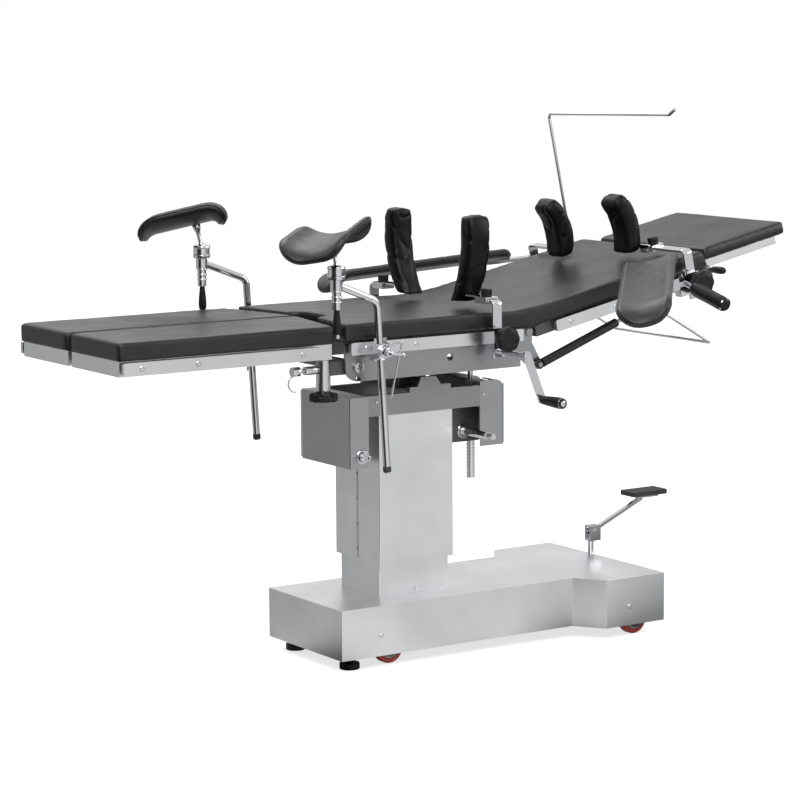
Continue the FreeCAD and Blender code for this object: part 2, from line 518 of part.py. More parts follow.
def tilt_cradle():
    """Cross that turns in the yoke lugs and carries the lengthwise shaft of the side tilt."""
    depth = SLEEVE_Y + (YOKE_Y - SLEEVE_Y) * 0.7 - SLIDE
    axle = rod(Vector(TREND_X, -depth, TREND_Z), AXIS_Y, TREND_R, 2 * depth)
    hub = box(TREND_X - CRADLE_X, TREND_X + CRADLE_X, -CRADLE_Y, CRADLE_Y, TREND_Z - TREND_R - 4.0, CRADLE_TOP)
    hub = rounded(hub, 10.0, AXIS_Z)
    shaft = rod(Vector(LATERAL_X0, 0, LATERAL_Z), AXIS_X, LATERAL_R, LATERAL_X1 - LATERAL_X0)
    cross = axle.fuse(hub).fuse(shaft)
    for side in (NEAR, FAR):
        y0 = SPINDLE_Y + (EAR_GAP / 2 if side == FAR else -EAR_GAP / 2 - EAR_T)
        ear = box(TREND_X + CRADLE_X - 12.0, EAR_TIP_X, y0, y0 + EAR_T, EAR_Z - EAR_HALF, EAR_Z + EAR_HALF)
        ear = ear.fuse(rod(Vector(EAR_TIP_X, y0, EAR_Z), AXIS_Y, EAR_HALF, EAR_T))
        slot = box(SPINDLE_X - 4.0, EAR_TIP_X - 1.0, y0, y0 + EAR_T, EAR_Z - EAR_SLOT, EAR_Z + EAR_SLOT)
        for x in (SPINDLE_X - 4.0, EAR_TIP_X - 1.0):
            slot = slot.fuse(rod(Vector(x, y0, EAR_Z), AXIS_Y, EAR_SLOT, EAR_T))
        root = box(TREND_X + CRADLE_X - 24.0, TREND_X + CRADLE_X + 6.0, min(y0, 0.0), max(y0 + EAR_T, -CRADLE_Y + 10.0),
                   EAR_Z - EAR_HALF, EAR_Z + EAR_HALF)
        cross = cross.fuse(root).fuse(ear.cut(slot))
    return cross


def seat_side_plates():
    solids = []
    for side in (NEAR, FAR):
        y0, y1 = sided(side, PLATE_Y, PLATE_Y + PLATE_T)
        plate = box(SEAT_X0, SEAT_X1, y0, y1, PLATE_Z0, FRAME_TOP)
        plate = rounded(plate, PLATE_ROUND, AXIS_Y, lambda p: p.x < SEAT_X0 + 1 and p.z < PLATE_Z0 + 1)
        ear = polygon_xz([(SEAT_X1 - 14.0, FRAME_TOP), (SEAT_X1 - 14.0, FOLD_Z), (STRUT_X - 13.0, STRUT_Z - 13.0),
                          (STRUT_X + 13.0, STRUT_Z - 13.0), (STRUT_X + 13.0, STRUT_Z + 8.0), (HINGE_X + 10.0, HINGE_Z - 26.0),
                          (HINGE_X + 10.0, FRAME_TOP)], y0, y1 - y0)
        plate = plate.fuse(ear)
        for x, z, r in ((LIGHT_HOLE_X, LIGHT_HOLE_Z, LIGHT_HOLE_R), (FOLD_X, FOLD_Z, FOLD_R),
                        (HINGE_X, HINGE_Z, HINGE_R), (FOLD_X - 2.0, FOLD_Z - 25.0, 4.0)):
            plate = plate.cut(rod(Vector(x, y0 - 1, z), AXIS_Y, r, PLATE_T + 2))
        if side == NEAR:
            plate = plate.cut(rod(Vector(CRANK_X, y0 - 1, CRANK_Z), AXIS_Y, CRANK_R + RUN, PLATE_T + 2))
            plate = plate.cut(rod(Vector(STRUT_X, y0 - 1, STRUT_Z), AXIS_Y, STRUT_PIN_R, PLATE_T + 2))
        solids.append(plate)
    return solids


def side_pin(x, z, radius, side, inner, outer):
    y0, y1 = sided(side, inner, outer)
    return rod(Vector(x, y0, z), AXIS_Y, radius, y1 - y0)


def seat_pins():
    """Leg hinge bolts, back hinge pins and the strut pin, each fast in its side plate."""
    solids = []
    outer = PLATE_Y + PLATE_T
    for side in (NEAR, FAR):
        bolt = side_pin(FOLD_X, FOLD_Z, FOLD_R, side, POST_Y - ARM_T, outer + FOLD_HEAD_T)
        solids.append(bolt.fuse(side_pin(FOLD_X, FOLD_Z, FOLD_HEAD_R, side, outer, outer + FOLD_HEAD_T)))
        pin = side_pin(HINGE_X, HINGE_Z, HINGE_R, side, SIDE_BEAM_Y0 + 2.0, outer + 4.0)
        solids.append(pin.fuse(side_pin(HINGE_X, HINGE_Z, HINGE_R + 3.0, side, outer, outer + 4.0)))
    strut_outer = STRUT_Y + STRUT_EYE_T / 2 + 3.0
    solids.append(side_pin(STRUT_X, STRUT_Z, STRUT_PIN_R, NEAR, PLATE_Y, strut_outer))
    return solids


def notch_outline(points_x, half, notch_x):
    """Foot end of the seat seen from above: slanted edges and the rounded notch between them."""
    corner, slant = points_x
    return [(corner, -half), (corner + slant, -NOTCH_HALF), (notch_x, -NOTCH_HALF), (notch_x, NOTCH_HALF),
            (corner + slant, NOTCH_HALF), (corner, half)]


def seat_pan():
    """Top sheet, cross beams with the hangers of the side tilt shaft, and the leg hinge tube."""
    ends = notch_outline((SEAT_X0, SEAT_SLANT), PAN_HALF, NOTCH_X - 6.0)
    pan = polygon_xy(ends + [(HINGE_X - 12.0, PAN_HALF), (HINGE_X - 12.0, -PAN_HALF)], FRAME_TOP, PAN_T)
    whole = pan
    for x in (LATERAL_X0 + HANGER_T / 2 + 2.0, LATERAL_X1 - HANGER_T / 2 - 2.0):
        beam = box(x - BEAM_W / 2, x + BEAM_W / 2, -PLATE_Y, PLATE_Y, FRAME_TOP - BEAM_H, FRAME_TOP)
        hanger = box(x - HANGER_T / 2, x + HANGER_T / 2, -HANGER_HALF, HANGER_HALF, LATERAL_Z - HANGER_DROP,
                     FRAME_TOP - BEAM_H)
        hanger = rounded(hanger, HANGER_HALF - 1.0, AXIS_X, lambda p: p.z < LATERAL_Z - HANGER_DROP + 1)
        bore = rod(Vector(x - HANGER_T, 0, LATERAL_Z), AXIS_X, LATERAL_R + RUN, 2 * HANGER_T)
        whole = whole.fuse(beam).fuse(hanger.cut(bore))
    tube = rod(Vector(FOLD_X, -(POST_Y - ARM_T - 1.0), FOLD_Z), AXIS_Y, FOLD_R + 5.0, 2 * (POST_Y - ARM_T - 1.0))
    rib_y = POST_Y - ARM_T - 12.0
    for side in (NEAR, FAR):
        y0, y1 = sided(side, rib_y, rib_y + 8.0)
        whole = whole.fuse(box(FOLD_X - 12.0, FOLD_X + 20.0, y0, y1, FOLD_Z, FRAME_TOP))
    return whole.fuse(tube)


def radial_x(angle, z):
    """X, measured from the back hinge, of a foam end that leans by the angle from the upright."""
    return math.tan(math.radians(angle)) * (z - HINGE_Z)


def seat_pad():
    z0 = FRAME_TOP + PAN_T
    ends = notch_outline((SEAT_CORNER_X, SEAT_SLANT), TOP_HALF, NOTCH_X)
    blank = polygon_xy(ends + [(HINGE_X, TOP_HALF), (HINGE_X, -TOP_HALF)], z0, PAD_T)
    blank = rounded(blank, 40.0, AXIS_Z, lambda p: abs(p.x - NOTCH_X) < 1)
    low, high = radial_x(FOAM_SEAT_ANGLE, z0), radial_x(FOAM_SEAT_ANGLE, z0 + PAD_T)
    cut = polygon_xz([(HINGE_X - low, z0), (HINGE_X + 1, z0), (HINGE_X + 1, z0 + PAD_T), (HINGE_X - high, z0 + PAD_T)],
                     -TOP_HALF - 1, 2 * TOP_HALF + 2)
    return blank.cut(cut)


def rail(x0, x1, z0, side, holes_from):
    """One accessory rail with rounded ends and the spacers that hold it off the frame."""
    y0, y1 = sided(side, RAIL_Y, RAIL_Y + RAIL_T)
    bar = rounded(box(x0, x1, y0, y1, z0, z0 + RAIL_H), RAIL_ROUND, AXIS_Y)
    length = x1 - x0
    for share in (0.09, 0.37, 0.91):
        x = x0 + share * length
        sy0, sy1 = sided(side, holes_from, RAIL_Y)
        bar = bar.fuse(rod(Vector(x, sy0, z0 + RAIL_H / 2), AXIS_Y, SPACER_R, sy1 - sy0))
    return bar


def seat_rails():
    return [rail(SEAT_RAIL[0], SEAT_RAIL[1], RAIL_Z0, side, PLATE_Y + PLATE_T) for side in (NEAR, FAR)]


def leg_bracket(side):
    """Hub on the fold bolt, arm, and the upright socket that the leg pin turns in."""
    y0, y1 = sided(side, POST_Y - ARM_T / 2, POST_Y + ARM_T / 2)
    hub = rod(Vector(FOLD_X, y0, FOLD_Z), AXIS_Y, FOLD_HUB_R, ARM_T)
    arm = box(POST_X, FOLD_X, y0, y1, FOLD_Z - 16.0, FOLD_Z + 16.0)
    length = POST_LENGTH[side]
    socket = rod(Vector(POST_X, side * POST_Y, POST_TOP - length), AXIS_Z, POST_R, length)
    bore = rod(Vector(POST_X, side * POST_Y, POST_TOP - length + 8.0), AXIS_Z, POST_PIN_R + RUN, length)
    screw = rod(Vector(POST_X, side * POST_Y, POST_TOP - length - 6.0), AXIS_Z, 5.0, 8.0)
    whole = hub.fuse(arm).fuse(socket).cut(bore).fuse(screw)
    whole = whole.cut(rod(Vector(FOLD_X, y0 - 1, FOLD_Z), AXIS_Y, FOLD_R + RUN, ARM_T + 2))
    return whole.fuse(fold_lock()) if side == NEAR else whole


def fold_lock():
    """Clamp screw with its barrel, end knob and hooked lever, under the near leg."""
    at = lambda x: Vector(x, -POST_Y, FOLD_Z)
    back = Vector(-1, 0, 0)
    x0, x1, x2, x3 = LOCK_X
    whole = rod(at(POST_X - POST_R + 2.0), back, LOCK_ROD_R, POST_X - POST_R + 2.0 - x3)
    whole = whole.fuse(rod(at(x0), back, LOCK_BARREL_R, x0 - x1)).fuse(rod(at(x2), back, LOCK_KNOB_R, x2 - x3))
    top = Vector((x2 + x3) / 2, -POST_Y, FOLD_Z - LOCK_KNOB_R)
    ring = Part.makeTorus(LOCK_HOOK_R, LOCK_HOOK_WIRE, top.sub(Vector(0, 0, LOCK_HOOK_R - 2.0)), AXIS_Y)
    keep = box(top.x - 2 * LOCK_HOOK_R, top.x, top.y - 5, top.y + 5, top.z - 3 * LOCK_HOOK_R, top.z + 4)
    return whole.fuse(ring.common(keep))


def leg_knob(side):
    top = Vector(POST_X, side * POST_Y, POST_TOP - POST_LENGTH[side] - SLIDE)
    knob = star_knob(top, STAR_R, STAR_H, STAR_ARMS)
    return knob.cut(rod(top.sub(Vector(0, 0, 7.0)), AXIS_Z, 5.0 + RUN, 8.0))


def leg_frame(side):
    """Shallow folded tray with its rail, and the block and pin at the hinge end."""
    y0, y1 = sided(side, LEG_INNER_Y, PAN_HALF)
    x1 = POST_X - LEG_BLOCK / 2
    tray = box(LEG_X0, x1, y0, y1, LEG_Z0, LEG_Z1)
    tray = tray.cut(box(LEG_X0 + LEG_WALL, x1 - LEG_WALL, y0 + LEG_WALL, y1 - LEG_WALL, LEG_Z0, LEG_Z1 - LEG_WALL))
    b0, b1 = sided(side, POST_Y - LEG_BLOCK / 2, POST_Y + LEG_BLOCK / 2)
    block = box(x1, x1 + LEG_BLOCK, b0, b1, POST_TOP + PLATE_GAP, LEG_Z1)
    pin_length = POST_LENGTH[side] - 10.0
    pin = rod(Vector(POST_X, side * POST_Y, POST_TOP - pin_length), AXIS_Z, POST_PIN_R, pin_length + 4.0)
    return tray.fuse(block).fuse(pin).fuse(rail(LEG_RAIL[0], LEG_RAIL[1], LEG_RAIL_Z0, side, PAN_HALF))


def leg_pad(side):
    outer, inner = side * TOP_HALF, side * LEG_INNER_Y
    points = [(LEG_PAD_X0, outer), (LEG_PAD_X0, inner), (LEG_PAD_X1 + LEG_PAD_SLANT, inner), (LEG_PAD_X1, outer)]
    return rounded(polygon_xy(points, LEG_Z1, LEG_PAD_T), PAD_EDGE, AXIS_Z)


def strut_lug(y0, z1):
    """One of the two plates that flank the upper eye of the gas strut."""
    plate = box(STRUT_TOP_X - STRUT_LUG_HALF, STRUT_TOP_X + STRUT_LUG_HALF, y0, y0 + LUG_PLATE_T,
                STRUT_TOP_Z - 12.0, z1)
    return rounded(plate, 9.0, AXIS_Y, lambda p: p.z < STRUT_TOP_Z)


def back_frame():
    """Two side beams with hinge ears, end cross beams, pan and the strut and bail lugs."""
    whole = box(BACK_X0, BACK_X1 - 8.0, -SIDE_BEAM_Y1, SIDE_BEAM_Y1, FRAME_TOP, FRAME_TOP + PAN_T)
    for side in (NEAR, FAR):
        y0, y1 = sided(side, SIDE_BEAM_Y0, SIDE_BEAM_Y1)
        beam = box(BACK_X0, BACK_X1 - 8.0, y0, y1, BACK_Z0, FRAME_TOP)
        e0, e1 = sided(side, SIDE_BEAM_Y0, PLATE_Y - PLATE_GAP)
        ear = box(HINGE_X, BACK_X0 + 10.0, e0, e1, HINGE_Z - 12.0, HINGE_Z + 8.0)
        ear = ear.fuse(rod(Vector(HINGE_X, e0, HINGE_Z), AXIS_Y, 12.0, e1 - e0))
        whole = whole.fuse(beam).fuse(ear)
        h0, h1 = sided(side, HEAD_FRAME_Y + PLATE_GAP, SIDE_BEAM_Y1 - 10.0)
        head_ear = rod(Vector(HEAD_HINGE_X, h0, HEAD_HINGE_Z), AXIS_Y, 10.0, h1 - h0)
        head_ear = head_ear.fuse(box(BACK_X1 - 14.0, HEAD_HINGE_X, h0, h1, HEAD_HINGE_Z - 10.0, HEAD_HINGE_Z + 5.0))
        whole = whole.fuse(head_ear)
    for x in (BACK_X0 + 60.0, BACK_X1 - 40.0):
        whole = whole.fuse(box(x, x + 24.0, -SIDE_BEAM_Y0, SIDE_BEAM_Y0, BACK_Z0, FRAME_TOP))
    for side in (NEAR, FAR):
        y0, y1 = sided(side, SIDE_BEAM_Y0, SIDE_BEAM_Y0 + 6.0)
        lug = box(BAIL_X - 9.0, BAIL_X + 9.0, y0, y1, BAIL_Z - 8.0, BACK_Z0)
        whole = whole.fuse(lug.cut(rod(Vector(BAIL_X, y0 - 1, BAIL_Z), AXIS_Y, BAIL_R + RUN, 8.0)))
    whole = whole.fuse(strut_lug(-SIDE_BEAM_Y1, BACK_Z0))
    for side in (NEAR, FAR):
        y0, y1 = sided(side, SIDE_BEAM_Y0 - 2.0, PLATE_Y)
        whole = whole.cut(rod(Vector(HINGE_X, y0, HINGE_Z), AXIS_Y, HINGE_R + RUN, y1 - y0))
        h0, h1 = sided(side, HEAD_FRAME_Y - 1.0, SIDE_BEAM_Y1)
        whole = whole.cut(rod(Vector(HEAD_HINGE_X, h0, HEAD_HINGE_Z), AXIS_Y, HEAD_HINGE_R + RUN, h1 - h0))
    outer = strut_lug(-(STRUT_Y + STRUT_EYE_T / 2 + PLATE_GAP + LUG_PLATE_T), RAIL_Z0)
    return [on_back(whole), on_back(outer)]


def back_rails():
    return [on_back(rail(BACK_RAIL[0], BACK_RAIL[1], RAIL_Z0, side, SIDE_BEAM_Y1)) for side in (NEAR, FAR)]


def back_pad():
    z0, z1 = FRAME_TOP + PAN_T, FRAME_TOP + PAN_T + PAD_T
    head = radial_x(FOAM_HEAD_ANGLE, HEAD_HINGE_Z + z1 - z0)
    points = [(HINGE_X + radial_x(FOAM_BACK_ANGLE, z0), z0), (HINGE_X + radial_x(FOAM_BACK_ANGLE, z1), z1),
              (BACK_X1 - head, z1), (BACK_X1, z0)]
    return on_back(polygon_xz(points, -TOP_HALF, 2 * TOP_HALF))


def head_frame():
    top = HEAD_PAD_Z0
    z0 = top - HEAD_FRAME_H
    tray = box(HEAD_FRAME_X0, HEAD_FRAME_X1, -HEAD_FRAME_Y, HEAD_FRAME_Y, z0, top)
    tray = tray.cut(box(HEAD_FRAME_X0 + 4.0, HEAD_FRAME_X1 - 3.0, -HEAD_FRAME_Y + 3.0, HEAD_FRAME_Y - 3.0, z0,
                        top - 3.0))
    whole = tray
    for side in (NEAR, FAR):
        y0, y1 = sided(side, HEAD_FRAME_Y - 12.0, HEAD_FRAME_Y)
        arm = box(HEAD_HINGE_X, HEAD_FRAME_X0 + 4.0, y0, y1, HEAD_HINGE_Z - 4.0, HEAD_HINGE_Z + 9.0)
        arm = arm.fuse(rod(Vector(HEAD_HINGE_X, y0, HEAD_HINGE_Z), AXIS_Y, 10.0, y1 - y0))
        pin = side_pin(HEAD_HINGE_X, HEAD_HINGE_Z, HEAD_HINGE_R, side, HEAD_FRAME_Y - 6.0, SIDE_BEAM_Y1 - 10.0)
        whole = whole.fuse(arm).fuse(pin)
    return on_back(whole)


def head_pad():
    z0, z1 = HEAD_PAD_Z0, HEAD_PAD_Z0 + HEAD_PAD_T
    slant = math.tan(math.radians(FOAM_HEAD_ANGLE))
    x0 = HEAD_HINGE_X + slant * (z0 - HEAD_HINGE_Z)
    x1 = HEAD_HINGE_X + slant * (z1 - HEAD_HINGE_Z)
    points = [(x0, z0), (x1, z1), (HEAD_PAD_X1, z1), (HEAD_PAD_X1, z0)]
    pad = polygon_xz(points, -HEAD_PAD_HALF, 2 * HEAD_PAD_HALF)
    return on_back(rounded(pad, PAD_EDGE, AXIS_Z, lambda p: p.x > HEAD_PAD_X1 - 1))


def head_lever():
    """Locking lever that turns on the near end of the head hinge."""
    y0 = -(SIDE_BEAM_Y1 - 10.0) - SLIDE
    at = Vector(HEAD_HINGE_X, y0, HEAD_HINGE_Z)
    stem = rod(at, Vector(0, -1, 0), LEVER_R + 2.0, 10.0).fuse(
        rod(at, Vector(0, -1, 0), LEVER_R, y0 - LEVER_END_Y))
    length = 32.0
    grip = Part.makeCone(LEVER_R + 0.5, LEVER_GRIP_R, length, Vector(HEAD_HINGE_X, LEVER_END_Y + length, HEAD_HINGE_Z),
                         Vector(0, -1, 0))
    return on_back(stem.fuse(grip))


def strut_ends():
    """Lower pin and the open upper end of the gas strut at rest, in the near side plane."""
    low = Vector(STRUT_X, -STRUT_Y, STRUT_Z)
    angle = math.radians(BACK_REST)
    dx, dz = STRUT_TOP_X - HINGE_X, STRUT_TOP_Z - HINGE_Z
    high = Vector(HINGE_X + dx * math.cos(angle) - dz * math.sin(angle), -STRUT_Y,
                  HINGE_Z + dx * math.sin(angle) + dz * math.cos(angle))
    return low, high


def strut_cylinder():
    low, high = strut_ends()
    along = high.sub(low).normalize()
    eye = rod(low.sub(Vector(0, STRUT_EYE_T / 2, 0)), AXIS_Y, STRUT_EYE_R, STRUT_EYE_T)
    start = low.add(Vector(along).multiply(STRUT_EYE_R - 2.0))
    body = rod(start, along, STRUT_R, STRUT_BODY)
    bore = rod(low.add(Vector(along).multiply(24.0)), along, STRUT_ROD_R + RUN, STRUT_BODY)
    pin = rod(low.sub(Vector(0, STRUT_EYE_T, 0)), AXIS_Y, STRUT_PIN_R + RUN, 2 * STRUT_EYE_T)
    body = body.cut(box(low.x - 60, low.x + 14.0, low.y + STRUT_EYE_T / 2, low.y + 40, low.z - 60, low.z + 60))
    return body.fuse(eye).cut(bore).cut(pin)


def strut_rod():
    low, high = strut_ends()
    along = high.sub(low).normalize()
    start = low.add(Vector(along).multiply(90.0))
    length = high.sub(start).Length - 6.0
    shaft = rod(start, along, STRUT_ROD_R, length)
    eye = rod(high.sub(Vector(0, STRUT_EYE_T / 2, 0)), AXIS_Y, 8.0, STRUT_EYE_T)
    return shaft.fuse(eye)


def release_bail():
    """Wire handle across the back frame that frees the gas strut."""
    angle = math.radians(BAIL_DROP)
    end = Vector(BAIL_LENGTH * math.cos(angle), 0, -BAIL_LENGTH * math.sin(angle))
    reach = SIDE_BEAM_Y0 + 6.0
    near, far = Vector(BAIL_X, -BAIL_Y, BAIL_Z), Vector(BAIL_X, BAIL_Y, BAIL_Z)
    ends = Vector(BAIL_X, -reach, BAIL_Z), Vector(BAIL_X, reach, BAIL_Z)
    return on_back(bent_rod([ends[0], near, near.add(end), far.add(end), far, ends[1]], BAIL_R, 8.0))


def crank_handle():
    start = Vector(CRANK_X, CRANK_INNER_Y, CRANK_Z)
    shaft = rod(start, Vector(0, -1, 0), CRANK_R, CRANK_INNER_Y - CRANK_PLANE_Y + CRANK_ARM_T)
    collar = rod(Vector(CRANK_X, -(PLATE_Y + PLATE_T) - 8.0 - SLIDE, CRANK_Z), AXIS_Y, CRANK_R + 4.0, 8.0)
    arm = box(CRANK_X - CRANK_ARM_W / 2, CRANK_X + CRANK_ARM_W / 2, CRANK_PLANE_Y - CRANK_ARM_T, CRANK_PLANE_Y,
              CRANK_Z - CRANK_ARM, CRANK_Z)
    for z in (CRANK_Z, CRANK_Z - CRANK_ARM):
        arm = arm.fuse(rod(Vector(CRANK_X, CRANK_PLANE_Y - CRANK_ARM_T, z), AXIS_Y, CRANK_ARM_W / 2, CRANK_ARM_T))
    face = CRANK_PLANE_Y - CRANK_ARM_T
    low = Vector(CRANK_X, face, CRANK_Z - CRANK_ARM)
    grip = Part.makeCone(GRIP_R0, GRIP_R1, GRIP_LENGTH, low.sub(Vector(0, 1.0, 0)), Vector(0, -1, 0))
    stem = rod(low, Vector(0, -1, 0), GRIP_R0 - 3.0, GRIP_LENGTH)
    whole = shaft.fuse(collar).fuse(arm).fuse(grip).fuse(stem)
    return turned(whole, Vector(CRANK_X, 0, CRANK_Z), AXIS_Y, -CRANK_ANGLE)


def knee_point(z, side):
    """Point on the straight line of the leaning crutch pole at a height."""
    x = KNEE_X[side] - (z - KNEE_CLAMP_Z) * math.tan(math.radians(KNEE_LEAN))
    return Vector(x, side * KNEE_Y, z)


def knee_socket(side):
    out = math.radians(KNEE_OUT)
    bend = knee_point(KNEE_BEND_Z + KNEE_LIFT[side], side)
    return bend.add(Vector(-KNEE_ARM * math.cos(out), side * KNEE_ARM * math.sin(out), KNEE_ARM_RISE))


def knee_pole(side):
    """Bent pole with a foot cap, the socket, knuckle and clamping grip at its top."""
    low = knee_point(KNEE_BOTTOM + KNEE_LIFT[side], side)
    bend = knee_point(KNEE_BEND_Z + KNEE_LIFT[side], side)
    top = knee_socket(side)
    pole = bent_rod([low, bend, top], KNEE_R, KNEE_BEND_R)
    socket = rod(top.sub(Vector(0, 0, SOCKET_H / 2 + 1.0)), AXIS_Z, SOCKET_R, SOCKET_H)
    base = top.sub(Vector(0, 0, SOCKET_H / 2 + 1.0))
    knuckle = rod(base.sub(Vector(0, 0, KNUCKLE_H)), AXIS_Z, KNUCKLE_R, KNUCKLE_H)
    stem = rod(base.sub(Vector(0, 0, KNUCKLE_H + 12.0)), AXIS_Z, 4.0, 14.0)
    grip_top = base.sub(Vector(0, 0, KNUCKLE_H + 10.0))
    grip = Part.makeCone(KNEE_GRIP_R - 3.0, KNEE_GRIP_R, KNEE_GRIP_L, grip_top, Vector(0, 0, -1))
    return pole.fuse(socket).fuse(knuckle).fuse(stem).fuse(grip)


def moulded_pad(straight, foot, head, width, wing_r, thick, corner):
    """Padded trough: a curved band run straight, then swung down at the ends, with rounded corners.

    foot and head are the radius and the angle of the two drooping ends; the head end keeps small corners
    where its angle is nought.
    """
    half = width / 2 / wing_r

    def at(radius, angle):
        return Vector(-straight / 2, radius * math.sin(angle), wing_r - radius * math.cos(angle))

    outer = wing_r + thick
    edges = [
        Part.Arc(at(outer, -half), at(outer, 0), at(outer, half)).toShape(),
        Part.LineSegment(at(outer, half), at(wing_r, half)).toShape(),
        Part.Arc(at(wing_r, half), at(wing_r, 0), at(wing_r, -half)).toShape(),
        Part.LineSegment(at(wing_r, -half), at(outer, -half)).toShape(),
    ]
    face = Part.Face(Part.Wire(edges))
    whole = face.extrude(Vector(straight, 0, 0))
    x0, x1 = -straight / 2, straight / 2
    if foot[1]:
        whole = whole.fuse(face.revolve(Vector(x0, 0, -foot[0]), AXIS_Y, -foot[1]))
    if head[1]:
        last = face.copy()
        last.translate(Vector(straight, 0, 0))
        whole = whole.fuse(last.revolve(Vector(x1, 0, -head[0]), AXIS_Y, head[1]))
    bounds = whole.BoundBox
    plan = box(bounds.XMin, bounds.XMax, -width / 2 - thick, width / 2 + thick, bounds.ZMin - 1, bounds.ZMax + 1)
    ends = (bounds.XMin, bounds.XMax) if head[1] else (bounds.XMin, bounds.XMin)
    plan = rounded(plan, corner, AXIS_Z, lambda p: min(abs(p.x - x) for x in ends) < 1.0)
    return whole.common(plan).removeSplitter()


def posed_saddle(side, seat):
    """Knee pad turned as it stands, with the middle of its underside on the neck."""
    pad = moulded_pad(SADDLE_LENGTH, SADDLE_FOOT, SADDLE_HEAD, SADDLE_WIDTH, SADDLE_WING_R, SADDLE_T, SADDLE_CORNER)
    pad.translate(Vector(-SADDLE_SEAT_X, 0, SADDLE_T))
    origin = Vector(0, 0, 0)
    for axis, angle in ((AXIS_X, KNEE_ROLL[side]), (AXIS_Y, -KNEE_PITCH[side]), (AXIS_Z, KNEE_TURN[side])):
        pad = turned(pad, origin, axis, angle)
    pad.translate(seat)
    return pad


def knee_pad(side):
    """Saddle pad with its neck and the ball cup that turns on the crutch socket."""
    top = knee_socket(side).add(Vector(0, 0, SOCKET_H / 2 - 1.0 + SLIDE))
    cup = rod(top, AXIS_Z, CUP_R, CUP_H)
    centre = top.add(Vector(0, 0, CUP_H))
    along = Vector(*KNEE_NECK[side])
    seat = centre.add(along)
    pad = posed_saddle(side, seat)
    neck = rod(centre.sub(Vector(0, 0, 4.0)), along, KNEE_NECK_R, along.Length + 4.0)
    funnel = Part.makeCone(KNEE_NECK_R, KNEE_NECK_TOP_R, 30.0, seat.sub(Vector(along).normalize().multiply(22.0)), along)
    neck = neck.fuse(funnel).cut(pad)
    neck = max(neck.Solids, key=lambda solid: solid.Volume)
    return [cup.fuse(neck), pad]


def bar_slot(x, side):
    y0, y1 = sided(side, BAR_Y - BAR_T / 2 - SLIDE, BAR_Y + BAR_T / 2 + SLIDE)
    return box(x - BAR_W / 2 - SLIDE, x + BAR_W / 2 + SLIDE, y0, y1, CLAMP_Z0 - 1.0, CLAMP_Z1 + 1.0)


def rail_clamp(x, side, knob_r=KNOB_R):
    """Block that hooks over the rail and grips an upright bar or pole, with its knob."""
    inner = RAIL_Y + RAIL_T
    y0, y1 = sided(side, inner, inner + CLAMP_T)
    block = box(x - CLAMP_X, x + CLAMP_X, y0, y1, CLAMP_Z0, CLAMP_Z1)
    l0, l1 = sided(side, RAIL_Y + SLIDE, inner)
    lip = box(x - CLAMP_X, x + CLAMP_X, l0, l1, RAIL_Z0 + RAIL_H, RAIL_Z0 + RAIL_H + CLAMP_LIP)
    jaw = box(x - CLAMP_X, x + CLAMP_X, l0, l1, RAIL_Z0 - CLAMP_LIP, RAIL_Z0)
    whole = block.fuse(lip).fuse(jaw)
    out = Vector(0, side, 0)
    face = Vector(x, side * (inner + CLAMP_T), RAIL_Z0 + RAIL_H / 2)
    if knob_r:
        stem = rod(face, out, 6.0, KNOB_STEM)
        knob = Part.makeCone(knob_r * 0.8, knob_r, KNOB_L, face.add(Vector(0, side * KNOB_STEM, 0)), out)
        whole = whole.fuse(stem).fuse(knob)
    return whole


def knee_clamp(side):
    """Rail clamp whose screw disc presses the crutch pole, with a hanging wire lever."""
    x = KNEE_X[side]
    block = rail_clamp(x, side, 0)
    low, high = knee_point(KNEE_BOTTOM, side), knee_point(KNEE_BEND_Z, side)
    boss_y = RAIL_Y + RAIL_T + CLAMP_T
    y0, y1 = sided(side, boss_y - 1.0, KNEE_Y + KNEE_R + 5.0)
    block = block.fuse(box(x - CLAMP_X, x + CLAMP_X, y0, y1, CLAMP_Z0 + 4.0, CLAMP_Z1 - 12.0))
    block = block.cut(rod(low, high.sub(low), KNEE_R + SLIDE, high.sub(low).Length))
    face = Vector(x, side * (KNEE_Y + KNEE_R + 5.0), KNEE_CLAMP_Z)
    out = Vector(0, side, 0)
    disc = rod(face, out, 18.0, 6.0)
    hub = rod(face, out, 7.0, 26.0)
    return block.fuse(disc).fuse(hub)


def rail_clamps():
    solids = []
    for side in (NEAR, FAR):
        solids.append(knee_clamp(side))
        solids.append(rail_clamp(LATERAL_X, side, KNOB_R).cut(bar_slot(LATERAL_X, side)))
    return solids


def arm_arm(side):
    """Flat bar from the arm board clamp to the pivot pin."""
    z0 = ARM_BAR_Z
    start = Vector(ARM_CLAMP_X, side * (RAIL_Y + RAIL_T + CLAMP_T / 2 + 4.0), 0)
    end = Vector(ARM_PIVOT_X[side], side * ARM_PIVOT_Y[side], 0)
    run = end.sub(start)
    angle = math.degrees(math.atan2(run.y, run.x))
    bar = box(0, run.Length, -ARM_BAR_W / 2, ARM_BAR_W / 2, z0, z0 + ARM_BAR_T)
    bar.rotate(Vector(0, 0, 0), AXIS_Z, angle)
    bar.translate(start)
    post = rod(Vector(start.x, start.y, CLAMP_Z1 - 4.0), AXIS_Z, 10.0, z0 + ARM_BAR_T - CLAMP_Z1 + 4.0)
    disc = rod(Vector(end.x, end.y, z0), AXIS_Z, ARM_BAR_W / 2 + 3.0, ARM_BAR_T)
    pin = rod(Vector(end.x, end.y, z0), AXIS_Z, ARM_PIVOT_R, ARM_PAD_Z[side] - z0 - 3.0)
    return bar.fuse(post).fuse(disc).fuse(pin)


